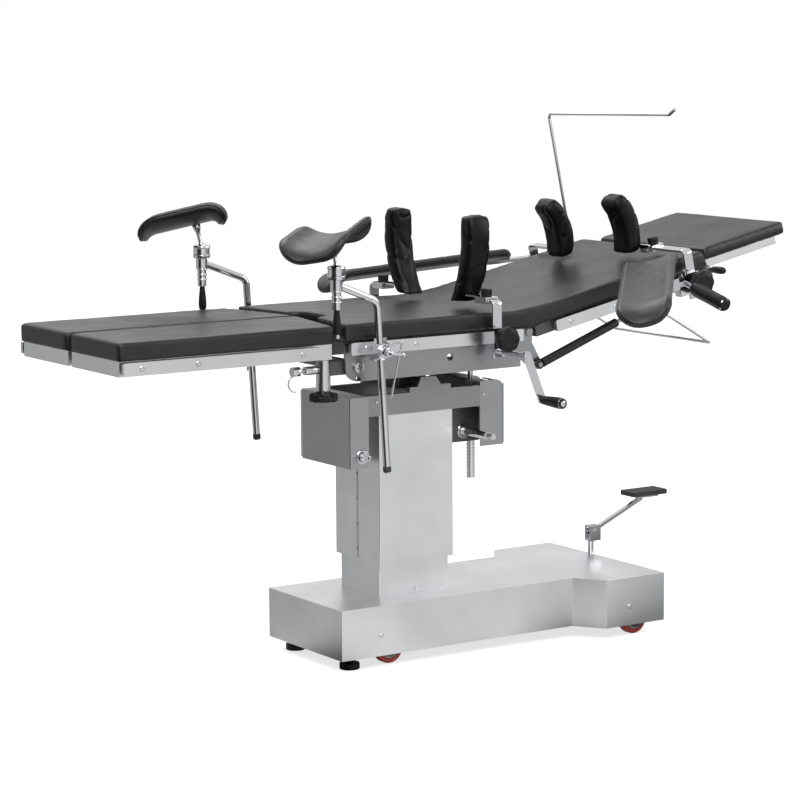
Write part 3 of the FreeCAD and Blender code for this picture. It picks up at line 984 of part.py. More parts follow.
def arm_grip(side):
    y0 = RAIL_Y + RAIL_T + CLAMP_T
    start = Vector(ARM_CLAMP_X, side * y0, RAIL_Z0 + RAIL_H / 2 + 4.0)
    out = Vector(0, side, -0.3)
    stem = rod(start.sub(Vector(out).multiply(4.0)), out, 7.0, 44.0)
    grip = rod(start.add(Vector(out).normalize().multiply(36.0)), out, ARM_GRIP_R, ARM_GRIP_L)
    grip = grip.makeFillet(7.0, [edge for edge in grip.Edges if isinstance(edge.Curve, Part.Circle)])
    return stem.fuse(grip)


def back_clamps():
    """Clamps fixed on the back rails: arm boards with their arms, shoulder supports, screen."""
    solids = []
    for side in (NEAR, FAR):
        solids.append(rail_clamp(ARM_CLAMP_X, side, 0).fuse(arm_arm(side)).fuse(arm_grip(side)))
        x = SHOULDER_X[side]
        clamp = rail_clamp(x, side)
        if side == NEAR:
            clamp = clamp.cut(box(x - 2 * CLAMP_X, ARM_CLAMP_X + CLAMP_X + PLATE_GAP, -2 * TOP_HALF, 0,
                                  CLAMP_Z0 - 1.0, CLAMP_Z1 + 1.0))
        solids.append(clamp.cut(bar_slot(x, side)))
    screen = rail_clamp(SCREEN_X, FAR, 0)
    bore = rod(Vector(SCREEN_X, SCREEN_Y, CLAMP_Z0 - 1), AXIS_Z, SCREEN_R + RUN, CLAMP_Z1 - CLAMP_Z0 + 2)
    face = Vector(SCREEN_X, RAIL_Y + RAIL_T + CLAMP_T, RAIL_Z0 + RAIL_H / 2)
    solids.append(screen.cut(bore).fuse(rod(face, AXIS_Y, 9.0, 14.0)))
    return [on_back(solid) for solid in solids]


def support_bar(x, side, z0, z1, reach):
    """Flat bar: upright in the clamp, then bent level over the top."""
    o0, o1 = sided(side, BAR_Y - BAR_T / 2, BAR_Y + BAR_T / 2)
    upright = box(x - BAR_W / 2, x + BAR_W / 2, o0, o1, z0, z1)
    l0, l1 = sided(side, reach, BAR_Y + BAR_T / 2)
    level = box(x - BAR_W / 2, x + BAR_W / 2, l0, l1, z1 - BAR_T, z1)
    bar = upright.fuse(level).removeSplitter()
    outer = side * (BAR_Y + BAR_T / 2)
    return rounded(bar, BAR_BEND, AXIS_X, lambda p: abs(p.y - outer) < 0.1 and abs(p.z - z1) < 0.1)


def lateral_bar(side):
    return support_bar(LATERAL_X, side, LATERAL_BAR_Z0, LATERAL_BAR_Z1, LATERAL_REACH)


def shoulder_bar(side):
    return on_back(support_bar(SHOULDER_X[side], side, SHOULDER_BAR_Z0, SHOULDER_BAR_Z1, SHOULDER_REACH))


def carrier(x, y, bar_top, length):
    """Block that slides on the level bar, with its thumb knob on top."""
    whole = box(x - BAR_W / 2 - 5.0, x + BAR_W / 2 + 5.0, y - length / 2, y + length / 2,
                bar_top - BAR_T - 5.0, bar_top + 5.0)
    slot = box(x - BAR_W / 2 - SLIDE, x + BAR_W / 2 + SLIDE, y - length, y + length,
               bar_top - BAR_T - SLIDE, bar_top + SLIDE)
    knob = rod(Vector(x, y, bar_top + 5.0), AXIS_Z, 5.0, 6.0).fuse(
        rod(Vector(x, y, bar_top + 10.0), AXIS_Z, 11.0, 12.0))
    return whole.cut(slot).fuse(knob)


def lateral_pad(side):
    """Bean-shaped upright pad whose foot sweeps in under the body, on its carrier."""
    width, thick, height = LATERAL_PAD
    z0, z1 = LATERAL_PAD_Z, LATERAL_PAD_Z + height
    foot, top = LATERAL_PAD_Y, LATERAL_PAD_Y + LATERAL_SWEEP
    middle = z0 + height * 0.45
    outer = [Part.Arc(Vector(0, foot - thick / 2, z0), Vector(0, top - thick / 2 - 6.0, middle),
                      Vector(0, top - thick / 2, z1)).toShape(),
             Part.LineSegment(Vector(0, top - thick / 2, z1), Vector(0, top + thick / 2, z1)).toShape(),
             Part.Arc(Vector(0, top + thick / 2, z1), Vector(0, top + thick / 2 - 2.0, middle),
                      Vector(0, foot + thick / 2, z0)).toShape(),
             Part.LineSegment(Vector(0, foot + thick / 2, z0), Vector(0, foot - thick / 2, z0)).toShape()]
    face = Part.Face(Part.Wire(outer))
    pad = face.extrude(Vector(width, 0, 0))
    pad.translate(Vector(LATERAL_PAD_X - width / 2, 0, 0))
    if side == NEAR:
        pad = pad.mirror(Vector(0, 0, 0), AXIS_Y)
    y = side * (LATERAL_REACH + LATERAL_CARRIER_L / 2 + 1.0)
    arm_y = sided(side, LATERAL_PAD_Y + thick / 2 - 6.0, LATERAL_REACH + 3.0)
    arm = box(LATERAL_X - 12.0, LATERAL_X + 12.0, arm_y[0], arm_y[1], LATERAL_BAR_Z1 + 1.0, LATERAL_BAR_Z1 + 5.0)
    return [carrier(LATERAL_X, y, LATERAL_BAR_Z1, LATERAL_CARRIER_L).fuse(arm.cut(pad)), pad]


def shoulder_pad(side):
    """Curved upright pad that leans toward the foot end, on its carrier."""
    thick, width, height = SHOULDER_PAD
    z0, z1 = SHOULDER_PAD_Z, SHOULDER_PAD_Z + height
    x = SHOULDER_X[side] - BAR_W / 2 - 8.0
    lean, bow, middle = SHOULDER_LEAN, SHOULDER_BOW, z0 + 0.52 * height
    tip = Vector(x - lean, 0, z1)
    edges = [Part.Arc(Vector(x - 6.0, 0, z0), Vector(x + bow * 0.4, 0, middle), tip).toShape(),
             Part.LineSegment(tip, tip.add(Vector(-thick * 0.72, 0, -thick * 0.5))).toShape(),
             Part.Arc(tip.add(Vector(-thick * 0.72, 0, -thick * 0.5)), Vector(x - thick + bow * 0.2, 0, middle - 12.0),
                      Vector(x - 6.0 - thick, 0, z0)).toShape(),
             Part.LineSegment(Vector(x - 6.0 - thick, 0, z0), Vector(x - 6.0, 0, z0)).toShape()]
    pad = Part.Face(Part.Wire(edges)).extrude(Vector(0, width, 0))
    y = side * SHOULDER_PAD_Y[side]
    pad.translate(Vector(0, y - width / 2, 0))
    at = side * (SHOULDER_REACH + CARRIER_L / 2 + 4.0)
    bar = box(x - 8.0, SHOULDER_X[side] - BAR_W / 2 - 5.0, at - 8.0, at + 8.0,
              SHOULDER_BAR_Z1 - 8.0, SHOULDER_BAR_Z1 + 2.0)
    tongue_y = sided(side, SHOULDER_PAD_Y[side] + width / 2 - 10.0, abs(at) + 8.0)
    tongue = box(x - 2.0, x + 4.0, tongue_y[0], tongue_y[1], SHOULDER_BAR_Z1 - 12.0, SHOULDER_BAR_Z1 + 8.0)
    holder = carrier(SHOULDER_X[side], at, SHOULDER_BAR_Z1, CARRIER_L).fuse(bar).fuse(tongue).cut(pad)
    return [on_back(holder), on_back(pad)]


def arm_board(side):
    """Hollow trough of constant thickness with a rounded, drooping outer end, on its pivot plate."""
    z0 = ARM_PAD_Z[side]
    radius, angle = ARM_DROOP
    straight = ARM_LENGTH - radius * math.sin(math.radians(angle))
    trough = moulded_pad(straight, ARM_DROOP, (0, 0), ARM_WIDTH, ARM_WING_R, ARM_THICK, ARM_WIDTH / 2 - 4.0)
    trough.translate(Vector(-straight / 2, 0, z0 + ARM_THICK))
    trough = turned(trough, Vector(-ARM_INSET, 0, z0), AXIS_Y, ARM_PITCH[side])
    top = z0 + (2.0 if side == NEAR else 14.0)
    plate = box(-ARM_INSET - 60.0, -ARM_INSET + 24.0, -20.0, 20.0, ARM_BAR_Z + ARM_BAR_T + SLIDE, top)
    pin = Vector(-ARM_INSET, 0, ARM_BAR_Z)
    plate = plate.cut(rod(pin, AXIS_Z, ARM_PIVOT_R + RUN, z0 - ARM_BAR_Z - 2.0)).cut(trough)
    plate = max(plate.Solids, key=lambda solid: solid.Volume)
    centre = Vector(-ARM_INSET, 0, 0)
    placed = []
    for solid in (trough, plate):
        solid = turned(solid, centre, AXIS_Z, -side * ARM_SWING[side])
        solid.translate(Vector(ARM_PIVOT_X[side] + ARM_INSET, side * ARM_PIVOT_Y[side], 0))
        placed.append(on_back(solid))
    return placed


def screen_rod():
    """Anaesthesia screen: upright rod, level arm across the table and an upturned tip."""
    near = SCREEN_Y - SCREEN_SPAN
    points = [Vector(SCREEN_X, SCREEN_Y, SCREEN_BOTTOM), Vector(SCREEN_X, SCREEN_Y, SCREEN_TOP),
              Vector(SCREEN_X, near, SCREEN_TOP + 12.0), Vector(SCREEN_X, near - SCREEN_TIP, SCREEN_TOP + 26.0)]
    return on_back(bent_rod(points, SCREEN_R, SCREEN_BEND))


def mounted_on_back():
    return {
        "shoulder_bar_near": shoulder_bar(NEAR), "shoulder_bar_far": shoulder_bar(FAR),
        "shoulder_pad_near": shoulder_pad(NEAR), "shoulder_pad_far": shoulder_pad(FAR),
        "arm_board_near": arm_board(NEAR), "arm_board_far": arm_board(FAR),
        "screen_rod": screen_rod(), "back_clamps": back_clamps(),
    }


def all_nodes():
    nodes = {
        "base_cover": base_cover(), "base_chassis": base_chassis(), "levelling_feet": levelling_feet(),
        "pump_post": pump_post(), "pump_lever": pump_lever(), "pedal_pad": pedal_pad(),
        "inner_column": inner_column(), "lift_cylinder": lift_cylinder(), "lift_ram": lift_ram(),
        "column_sleeve": column_sleeve(), "tilt_yoke": tilt_yoke(), "gear_housings": gear_housings(),
        "tilt_gearbox": tilt_gearbox(), "tilt_shaft": tilt_shaft(), "lateral_shaft": lateral_shaft(),
        "tilt_spindle": tilt_spindle(), "tilt_cradle": tilt_cradle(),
        "seat_side_plates": seat_side_plates() + seat_pins(), "seat_pan": seat_pan(),
        "seat_pad": seat_pad(), "seat_rails": seat_rails(), "rail_clamps": rail_clamps(),
        "back_frame": back_frame(), "back_rails": back_rails(), "back_pad": back_pad(),
        "head_frame": head_frame(), "head_pad": head_pad(), "head_lever": head_lever(),
        "strut_cylinder": strut_cylinder(), "strut_rod": strut_rod(), "release_bail": release_bail(),
        "crank_handle": crank_handle(),
    }
    for name, side in (("near", NEAR), ("far", FAR)):
        nodes["foot_wheel_" + name] = wheel(FOOT_WHEEL[0], side * FOOT_WHEEL[1])
        nodes["head_wheel_" + name] = wheel(HEAD_WHEEL[0], side * HEAD_WHEEL[1])
        nodes["leg_bracket_" + name] = leg_bracket(side)
        nodes["leg_knob_" + name] = leg_knob(side)
        nodes["leg_frame_" + name] = leg_frame(side)
        nodes["leg_pad_" + name] = leg_pad(side)
        nodes["knee_pole_" + name] = knee_pole(side)
        nodes["knee_pad_" + name] = knee_pad(side)
        nodes["lateral_bar_" + name] = lateral_bar(side)
        nodes["lateral_pad_" + name] = lateral_pad(side)
    nodes.update(mounted_on_back())
    return nodes


def main():
    os.makedirs("parts", exist_ok=True)
    for name, made in all_nodes().items():
        shape = Part.makeCompound(made) if isinstance(made, list) else made
        shape.exportStep("parts/" + name + ".step")


main()
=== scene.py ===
"""Looks of the operating table: upholstery, metal finishes, fasteners, knobs and the studio round them."""
import math

import bmesh
import bpy
import numpy as np
from mathutils import Matrix, Vector, noise


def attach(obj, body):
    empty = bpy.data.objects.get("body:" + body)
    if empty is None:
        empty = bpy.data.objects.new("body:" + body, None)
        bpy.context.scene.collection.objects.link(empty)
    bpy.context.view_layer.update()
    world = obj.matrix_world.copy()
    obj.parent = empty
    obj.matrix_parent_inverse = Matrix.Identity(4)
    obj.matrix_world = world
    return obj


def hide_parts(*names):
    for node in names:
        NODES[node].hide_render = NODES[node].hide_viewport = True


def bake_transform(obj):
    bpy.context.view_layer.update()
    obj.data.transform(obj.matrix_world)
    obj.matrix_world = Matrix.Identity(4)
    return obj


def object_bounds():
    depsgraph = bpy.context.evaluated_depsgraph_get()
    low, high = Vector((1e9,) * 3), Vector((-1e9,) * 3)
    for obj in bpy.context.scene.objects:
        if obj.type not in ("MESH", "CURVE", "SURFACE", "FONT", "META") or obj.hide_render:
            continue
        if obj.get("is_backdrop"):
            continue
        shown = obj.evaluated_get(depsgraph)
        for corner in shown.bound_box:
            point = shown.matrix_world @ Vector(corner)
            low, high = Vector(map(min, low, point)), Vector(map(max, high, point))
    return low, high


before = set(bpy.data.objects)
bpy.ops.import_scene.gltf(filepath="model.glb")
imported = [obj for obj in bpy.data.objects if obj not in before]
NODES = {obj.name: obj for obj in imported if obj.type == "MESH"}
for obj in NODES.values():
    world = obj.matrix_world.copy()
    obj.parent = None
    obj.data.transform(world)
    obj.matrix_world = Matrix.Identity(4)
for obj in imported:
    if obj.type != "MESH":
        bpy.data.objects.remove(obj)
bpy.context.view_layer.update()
RX = Vector((1, 0, 0))
RY = Vector((0, 1, 0))
RZ = Vector((0, 0, 1))
HINGE = Vector((0.240, 0.0, 0.792))
LIFT = math.radians(12.0)  # the back section stands raised by this
WELD = 0.00002  # joins the split corners of a CAD mesh
EDGE_ANGLE = math.radians(40)
MATTRESS_VOXEL = 0.0055
SIDES = (("near", -1), ("far", 1))


def raised(x, y, z):
    """World point of a back-section point drawn level, all in millimetres."""
    dx, dz = x / 1000 - HINGE.x, z / 1000 - HINGE.z
    return Vector((HINGE.x + dx * math.cos(LIFT) - dz * math.sin(LIFT), y / 1000,
                   HINGE.z + dx * math.sin(LIFT) + dz * math.cos(LIFT)))


RAISE = Matrix.Rotation(-LIFT, 3, "Y")
BX, BZ = RAISE @ RX, RAISE @ RZ


def mm(x, y, z):
    return Vector((x, y, z)) / 1000


# ---------------------------------------------------------------- materials
def new_material(name):
    made = bpy.data.materials.new(name)
    made.use_nodes = True
    tree = made.node_tree
    return made, tree, tree.nodes["Principled BSDF"]


def link(tree, a, b):
    tree.links.new(a, b)


def coordinates(tree, scale=(1, 1, 1)):
    tex = tree.nodes.new("ShaderNodeTexCoord")
    mapping = tree.nodes.new("ShaderNodeMapping")
    mapping.inputs["Scale"].default_value = scale
    link(tree, tex.outputs["Object"], mapping.inputs["Vector"])
    return mapping.outputs["Vector"]


def noise_node(tree, vector, scale, detail=4.0, rough=0.55):
    node = tree.nodes.new("ShaderNodeTexNoise")
    node.inputs["Scale"].default_value = scale
    node.inputs["Detail"].default_value = detail
    node.inputs["Roughness"].default_value = rough
    link(tree, vector, node.inputs["Vector"])
    return node.outputs["Fac"]


def ramp(tree, value, stops):
    node = tree.nodes.new("ShaderNodeValToRGB")
    while len(node.color_ramp.elements) < len(stops):
        node.color_ramp.elements.new(0.5)
    for element, (place, colour) in zip(node.color_ramp.elements, stops):
        element.position = place
        element.color = (*colour, 1) if hasattr(colour, "__len__") else (colour, colour, colour, 1)
    link(tree, value, node.inputs["Fac"])
    return node.outputs["Color"]


def bump(tree, shader, height, strength, distance=0.001):
    node = tree.nodes.new("ShaderNodeBump")
    node.inputs["Strength"].default_value = strength
    node.inputs["Distance"].default_value = distance
    link(tree, height, node.inputs["Height"])
    link(tree, node.outputs["Normal"], shader.inputs["Normal"])
    return node


def metal(name, colour, rough, spread=0.06, grain=(1, 1, 1), grain_scale=60.0, bump_by=0.05, metallic=1.0):
    """Steel with a directional finish: grain stretches the noise along the brushing."""
    made, tree, shader = new_material(name)
    shader.inputs["Metallic"].default_value = metallic
    fine = noise_node(tree, coordinates(tree, grain), grain_scale, 6.0, 0.7)
    broad = noise_node(tree, coordinates(tree), 6.0, 2.0)
    tint = ramp(tree, broad, [(0.3, tuple(c * 0.92 for c in colour)), (0.7, tuple(min(1.0, c * 1.06) for c in colour))])
    link(tree, tint, shader.inputs["Base Color"])
    link(tree, ramp(tree, fine, [(0.3, max(0.02, rough - spread)), (0.75, rough + spread)]), shader.inputs["Roughness"])
    bump(tree, shader, fine, bump_by, 0.0004)
    return made


def leather_material(name, colour=0.022, rough=0.36, grain=620.0, strength=0.25, shine=0.5):
    """Smooth coated leathercloth: fine pebble grain, soft stretch marks and dulled patches."""
    made, tree, shader = new_material(name)
    place = coordinates(tree)
    cells = tree.nodes.new("ShaderNodeTexVoronoi")
    cells.inputs["Scale"].default_value = grain
    link(tree, place, cells.inputs["Vector"])
    wide = noise_node(tree, place, 9.0, 5.0, 0.6)
    fine = noise_node(tree, place, 240.0, 5.0, 0.65)
    link(tree, ramp(tree, wide, [(0.3, colour * 0.8), (0.72, colour * 1.35)]), shader.inputs["Base Color"])
    link(tree, ramp(tree, wide, [(0.28, rough - 0.05), (0.75, rough + 0.09)]), shader.inputs["Roughness"])
    mix = tree.nodes.new("ShaderNodeMath")
    mix.operation = "ADD"
    link(tree, cells.outputs["Distance"], mix.inputs[0])
    link(tree, fine, mix.inputs[1])
    bump(tree, shader, mix.outputs["Value"], strength, 0.0005)
    shader.inputs["Specular IOR Level"].default_value = shine
    return made


def plastic(name, colour, rough, grain=900.0, strength=0.12, shine=0.5):
    made, tree, shader = new_material(name)
    shader.inputs["Specular IOR Level"].default_value = shine
    place = coordinates(tree)
    broad = noise_node(tree, place, 25.0, 3.0)
    fine = noise_node(tree, place, grain, 3.0)
    shade = ramp(tree, broad, [(0.3, tuple(c * 0.85 for c in colour)), (0.7, tuple(c * 1.15 for c in colour))])
    link(tree, shade, shader.inputs["Base Color"])
    link(tree, ramp(tree, broad, [(0.3, rough - 0.05), (0.7, rough + 0.06)]), shader.inputs["Roughness"])
    bump(tree, shader, fine, strength, 0.0003)
    return made


M = {
    "polished": metal("polished_cover", (0.74, 0.75, 0.76), 0.33, 0.03, (1, 1, 0.05), 90.0, 0.03),
    "column": metal("brushed_column", (0.80, 0.81, 0.82), 0.30, 0.04, (1, 1, 0.03), 160.0, 0.05),
    "yoke": metal("yoke_steel", (0.33, 0.335, 0.345), 0.32, 0.06, (0.03, 1, 1), 160.0, 0.05),
    "housing": metal("housing_steel", (0.40, 0.405, 0.415), 0.32, 0.05, (1, 1, 0.04), 150.0, 0.04),
    "rail": metal("rail_steel", (0.76, 0.77, 0.78), 0.26, 0.05, (0.02, 1, 1), 220.0, 0.06),
    "frame": metal("side_plate_steel", (0.36, 0.365, 0.375), 0.33, 0.06, (0.03, 1, 1), 180.0, 0.05),
    "chrome": metal("chrome", (0.66, 0.66, 0.68), 0.07, 0.02, (1, 1, 1), 40.0, 0.01),
    "screw": metal("screw_zinc", (0.70, 0.70, 0.71), 0.22, 0.05, (1, 1, 1), 300.0, 0.05),
    "dark": metal("dark_casting", (0.12, 0.12, 0.125), 0.45, 0.08, (1, 1, 1), 90.0, 0.15, 0.6),
    "under": metal("under_frame", (0.10, 0.10, 0.105), 0.42, 0.08, (1, 1, 1), 40.0, 0.05, 0.5),
    "leather": leather_material("black_leathercloth", 0.010, 0.37),
    # the small support pads get a darker, less shiny copy of the same leathercloth: painted shade on these upright pads
    "support_leather_painted_shade": leather_material("support_leathercloth_painted_shade", 0.004, 0.33, 700.0, 0.22, 0.2),
    "black": plastic("black_plastic", (0.009, 0.009, 0.010), 0.38, shine=0.25),
    "gloss": plastic("strut_black", (0.012, 0.012, 0.013), 0.14, 400.0, 0.03),
    "rubber": plastic("pedal_rubber", (0.03, 0.03, 0.03), 0.6, 500.0, 0.3),
    "tread": plastic("wheel_tread", (0.42, 0.045, 0.035), 0.42, 300.0, 0.15),
    "hub": plastic("wheel_hub", (0.35, 0.35, 0.36), 0.4, 300.0, 0.1),
}
NODE_LOOKS = {
    "base_cover": "polished", "base_chassis": "dark", "levelling_feet": "black", "inner_column": "column",
    "lift_cylinder": "chrome", "lift_ram": "chrome", "pump_post": "chrome", "pump_lever": "chrome",
    "pedal_pad": "rubber", "column_sleeve": "column", "tilt_yoke": "yoke", "gear_housings": "housing",
    "tilt_gearbox": "dark", "tilt_shaft": "chrome", "lateral_shaft": "chrome", "tilt_spindle": "screw",
    "tilt_cradle": "dark", "seat_side_plates": "frame", "seat_pan": "under", "seat_rails": "rail",
    "rail_clamps": "chrome", "back_frame": "under", "back_rails": "rail", "back_clamps": "chrome",
    "head_frame": "rail", "head_lever": "chrome", "strut_cylinder": "gloss", "strut_rod": "chrome",
    "release_bail": "chrome", "crank_handle": "chrome", "screen_rod": "chrome",
    "leg_bracket_near": "chrome", "leg_bracket_far": "chrome", "leg_knob_near": "black", "leg_knob_far": "black",
    "leg_frame_near": "rail", "leg_frame_far": "rail", "knee_pole_near": "chrome", "knee_pole_far": "chrome",
    "lateral_bar_near": "chrome", "lateral_bar_far": "chrome", "shoulder_bar_near": "chrome",
    "shoulder_bar_far": "chrome", "foot_wheel_near": "tread", "foot_wheel_far": "tread",
    "head_wheel_near": "tread", "head_wheel_far": "tread",
}
for name, look in NODE_LOOKS.items():
    thing = NODES[name]
    thing.data.materials.clear()
    thing.data.materials.append(M[look])
BEVELLED = {"base_cover": 0.004, "column_sleeve": 0.0015, "inner_column": 0.0015, "tilt_yoke": 0.0012,
            "gear_housings": 0.0015, "seat_side_plates": 0.001, "seat_rails": 0.001, "back_rails": 0.001,
            "leg_frame_near": 0.0015, "leg_frame_far": 0.0015, "head_frame": 0.0015, "rail_clamps": 0.0012,
            "back_clamps": 0.0012, "tilt_gearbox": 0.002, "crank_handle": 0.0012, "lateral_bar_near": 0.001,
            "lateral_bar_far": 0.001, "shoulder_bar_near": 0.001, "shoulder_bar_far": 0.001,
            "pump_lever": 0.001, "leg_bracket_near": 0.0012, "leg_bracket_far": 0.0012, "pump_post": 0.001}
for name, width in BEVELLED.items():
    thing = NODES[name]
    weld = thing.modifiers.new("weld", "WELD")
    weld.merge_threshold = WELD
    edge = thing.modifiers.new("edge", "BEVEL")
    edge.width, edge.segments, edge.limit_method = width, 2, "ANGLE"
    edge.angle_limit = EDGE_ANGLE
    edge.harden_normals = True


# ---------------------------------------------------------------- mesh helpers
def place_object(name, mesh, look, body, smooth=35.0):
    thing = bpy.data.objects.new(name, mesh)
    bpy.context.scene.collection.objects.link(thing)
    mesh.materials.append(M[look])
    if smooth:
        mesh.shade_smooth() if smooth >= 180 else smooth_by_angle(mesh, smooth)
    if body:
        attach(thing, body)
    return thing


def smooth_by_angle(mesh, degrees):
    mesh.shade_smooth()
    work = bmesh.new()
    work.from_mesh(mesh)
    for edge in work.edges:
        if len(edge.link_faces) == 2 and edge.calc_face_angle() > math.radians(degrees):
            edge.smooth = False
    work.to_mesh(mesh)
    work.free()


def from_data(name, verts, faces):
    mesh = bpy.data.meshes.new(name)
    mesh.from_pydata([tuple(v) for v in verts], [], faces)
    mesh.validate()
    return mesh


def frame_of(axis):
    axis = axis.normalized()
    side = axis.cross(RZ if abs(axis.z) < 0.9 else RX).normalized()
    return side, axis.cross(side).normalized(), axis


def lathe(name, origin, axis, profile, look, body, segments=40, flutes=0, depth=0.0, smooth=35.0):
    """Turned piece: profile is (distance along the axis, radius) in millimetres; flutes scallop it."""
    side, up, axis = frame_of(axis)
    verts, faces = [], []
    for along, radius in profile:
        for k in range(segments):
            a = 2 * math.pi * k / segments
            r = radius * (1 - depth * (0.5 - 0.5 * math.cos(flutes * a))) if flutes else radius
            verts.append(origin + axis * along / 1000 + (side * math.cos(a) + up * math.sin(a)) * r / 1000)
    rows = len(profile)
    for i in range(rows - 1):
        for k in range(segments):
            j = (k + 1) % segments
            faces.append((i * segments + k, i * segments + j, (i + 1) * segments + j, (i + 1) * segments + k))
    faces.append(tuple(range(segments))[::-1])
    faces.append(tuple((rows - 1) * segments + k for k in range(segments)))
    return place_object(name, from_data(name, verts, faces), look, body, smooth)


def tube(name, points, radius, look, body, segments=20, closed=False, smooth=180.0):
    """Round bar or bead swept through dense points, in metres; radius may be a list."""
    pts = [Vector(p) for p in points]
    count = len(pts)
    radii = radius if hasattr(radius, "__len__") else [radius] * count
    verts, faces = [], []
    normal = None
    for i, p in enumerate(pts):
        before = pts[i - 1] if i or closed else p
        after = pts[(i + 1) % count] if i < count - 1 or closed else p
        along = (after - before).normalized()
        if normal is None:
            normal = frame_of(along)[0]
        normal = (normal - along * normal.dot(along)).normalized()
        other = along.cross(normal)
        for k in range(segments):
            a = 2 * math.pi * k / segments
            verts.append(p + (normal * math.cos(a) + other * math.sin(a)) * radii[i])
    for i in range(count if closed else count - 1):
        n = (i + 1) % count
        for k in range(segments):
            j = (k + 1) % segments
            faces.append((i * segments + k, i * segments + j, n * segments + j, n * segments + k))
    if not closed:
        faces.append(tuple(range(segments))[::-1])
        faces.append(tuple((count - 1) * segments + k for k in range(segments)))
    return place_object(name, from_data(name, verts, faces), look, body, smooth)


def slab(name, outline, origin, across, along, up, height, look, body, bevel=0.8, smooth=35.0):
    """Plate from an outline in millimetres, in the plane of two directions, with softened edges."""
    work = bmesh.new()
    ring = [work.verts.new(origin + across * a / 1000 + along * b / 1000) for a, b in outline]
    face = work.faces.new(ring)
    made = bmesh.ops.extrude_face_region(work, geom=[face])
    lifted = [v for v in made["geom"] if isinstance(v, bmesh.types.BMVert)]
    bmesh.ops.translate(work, verts=lifted, vec=up * height / 1000)
    bmesh.ops.recalc_face_normals(work, faces=work.faces)
    if bevel:
        bmesh.ops.bevel(work, geom=[e for e in work.edges if e.calc_face_angle(0) > math.radians(25)],
                        offset=bevel / 1000, segments=2, affect="EDGES", clamp_overlap=True)
    mesh = bpy.data.meshes.new(name)
    work.to_mesh(mesh)
    work.free()
    return place_object(name, mesh, look, body, smooth)


# ---------------------------------------------------------------- upholstery
def remeshed(name, source_nodes, voxel, filler=None):
    """Even mesh of one solid of a soft CAD node, or of several joined, with filler points' hull between them."""
    work = bmesh.new()
    for node, pick in source_nodes:
        piece = bmesh.new()
        piece.from_mesh(NODES[node].data)
        bmesh.ops.remove_doubles(piece, verts=piece.verts, dist=WELD)
        if pick:
            keep_largest(piece)
        other = bpy.data.meshes.new("t")
        piece.to_mesh(other)
        piece.free()
        work.from_mesh(other)
        bpy.data.meshes.remove(other)
    if filler:
        hull = bmesh.ops.convex_hull(work, input=[work.verts.new(p) for p in filler])
        bmesh.ops.recalc_face_normals(work, faces=[f for f in hull["geom"] if isinstance(f, bmesh.types.BMFace)])
    mesh = bpy.data.meshes.new(name)
    work.to_mesh(mesh)
    work.free()
    thing = bpy.data.objects.new(name, mesh)
    bpy.context.scene.collection.objects.link(thing)
    again = thing.modifiers.new("remesh", "REMESH")
    again.mode, again.voxel_size = "VOXEL", voxel
    graph = bpy.context.evaluated_depsgraph_get()
    done = bpy.data.meshes.new_from_object(thing.evaluated_get(graph))
    bpy.data.objects.remove(thing)
    done.name = name
    return done


def loose_parts(work):
    """The connected pieces of a mesh, the largest first."""
    left, groups = set(work.verts), []
    while left:
        start = left.pop()
        group, edge = {start}, [start]
        while edge:
            for e in edge.pop().link_edges:
                for v in e.verts:
                    if v in left:
                        left.discard(v)
                        group.add(v)
                        edge.append(v)
        groups.append(group)
    size = lambda g: np.ptp(np.array([v.co for v in g]), axis=0).sum()
    return sorted(groups, key=size, reverse=True)


def keep_largest(work):
    bmesh.ops.delete(work, geom=[v for g in loose_parts(work)[1:] for v in g], context="VERTS")


def hardware_of(name, node, body, look="chrome", bevel=0.0008):
    """The metal pieces of a cushion's node, everything but its largest solid, with softened edges."""
    work = bmesh.new()
    work.from_mesh(NODES[node].data)
    bmesh.ops.remove_doubles(work, verts=work.verts, dist=WELD)
    bmesh.ops.delete(work, geom=list(loose_parts(work)[0]), context="VERTS")
    mesh = bpy.data.meshes.new(name)
    work.to_mesh(mesh)
    work.free()
    thing = place_object(name, mesh, look, body, 30.0)
    edge = thing.modifiers.new("edge", "BEVEL")
    edge.width, edge.segments, edge.limit_method = bevel, 2, "ANGLE"
    edge.angle_limit = EDGE_ANGLE
    return thing


def arrays(mesh):
    co = np.empty(len(mesh.vertices) * 3)
    mesh.vertices.foreach_get("co", co)
    normals = np.empty(len(mesh.vertices) * 3)
    mesh.vertices.foreach_get("normal", normals)
    return co.reshape(-1, 3), normals.reshape(-1, 3)


def set_points(mesh, co):
    mesh.vertices.foreach_set("co", co.ravel())
    mesh.update()


def relax(mesh, rounds):
    """Softens the voxel steps and rounds the edges a little."""
    pairs = np.empty(len(mesh.edges) * 2, dtype=np.int64)
    mesh.edges.foreach_get("vertices", pairs)
    pairs = pairs.reshape(-1, 2)
    co, _ = arrays(mesh)
    count = np.bincount(pairs.ravel(), minlength=len(co))[:, None].clip(1)
    for _ in range(rounds):
        total = np.zeros_like(co)
        np.add.at(total, pairs[:, 0], co[pairs[:, 1]])
        np.add.at(total, pairs[:, 1], co[pairs[:, 0]])
        co = co * 0.5 + total / count * 0.5
    set_points(mesh, co)


def smooth_noise(points, scale, seed):
    return np.array([noise.noise(Vector((p[0] * scale + seed, p[1] * scale, p[2] * scale))) for p in points])


def upholstered(name, nodes, body, voxel=0.005, rounds=6, swell=0.0, ripple=0.0006, look="leather",
                shape=None, pick=False, filler=None):
    mesh = remeshed(name, [(n, pick) for n in nodes], voxel, filler)
    relax(mesh, rounds)
    co, normals = arrays(mesh)
    push = swell + ripple * smooth_noise(co, 14.0, 3.0) + ripple * 0.5 * smooth_noise(co, 42.0, 9.0)
    if shape:
        push = push + shape(co, normals)
    set_points(mesh, co + normals * push[:, None])
    thing = place_object(name, mesh, look, body, 180.0)
    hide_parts(*nodes)
    return thing


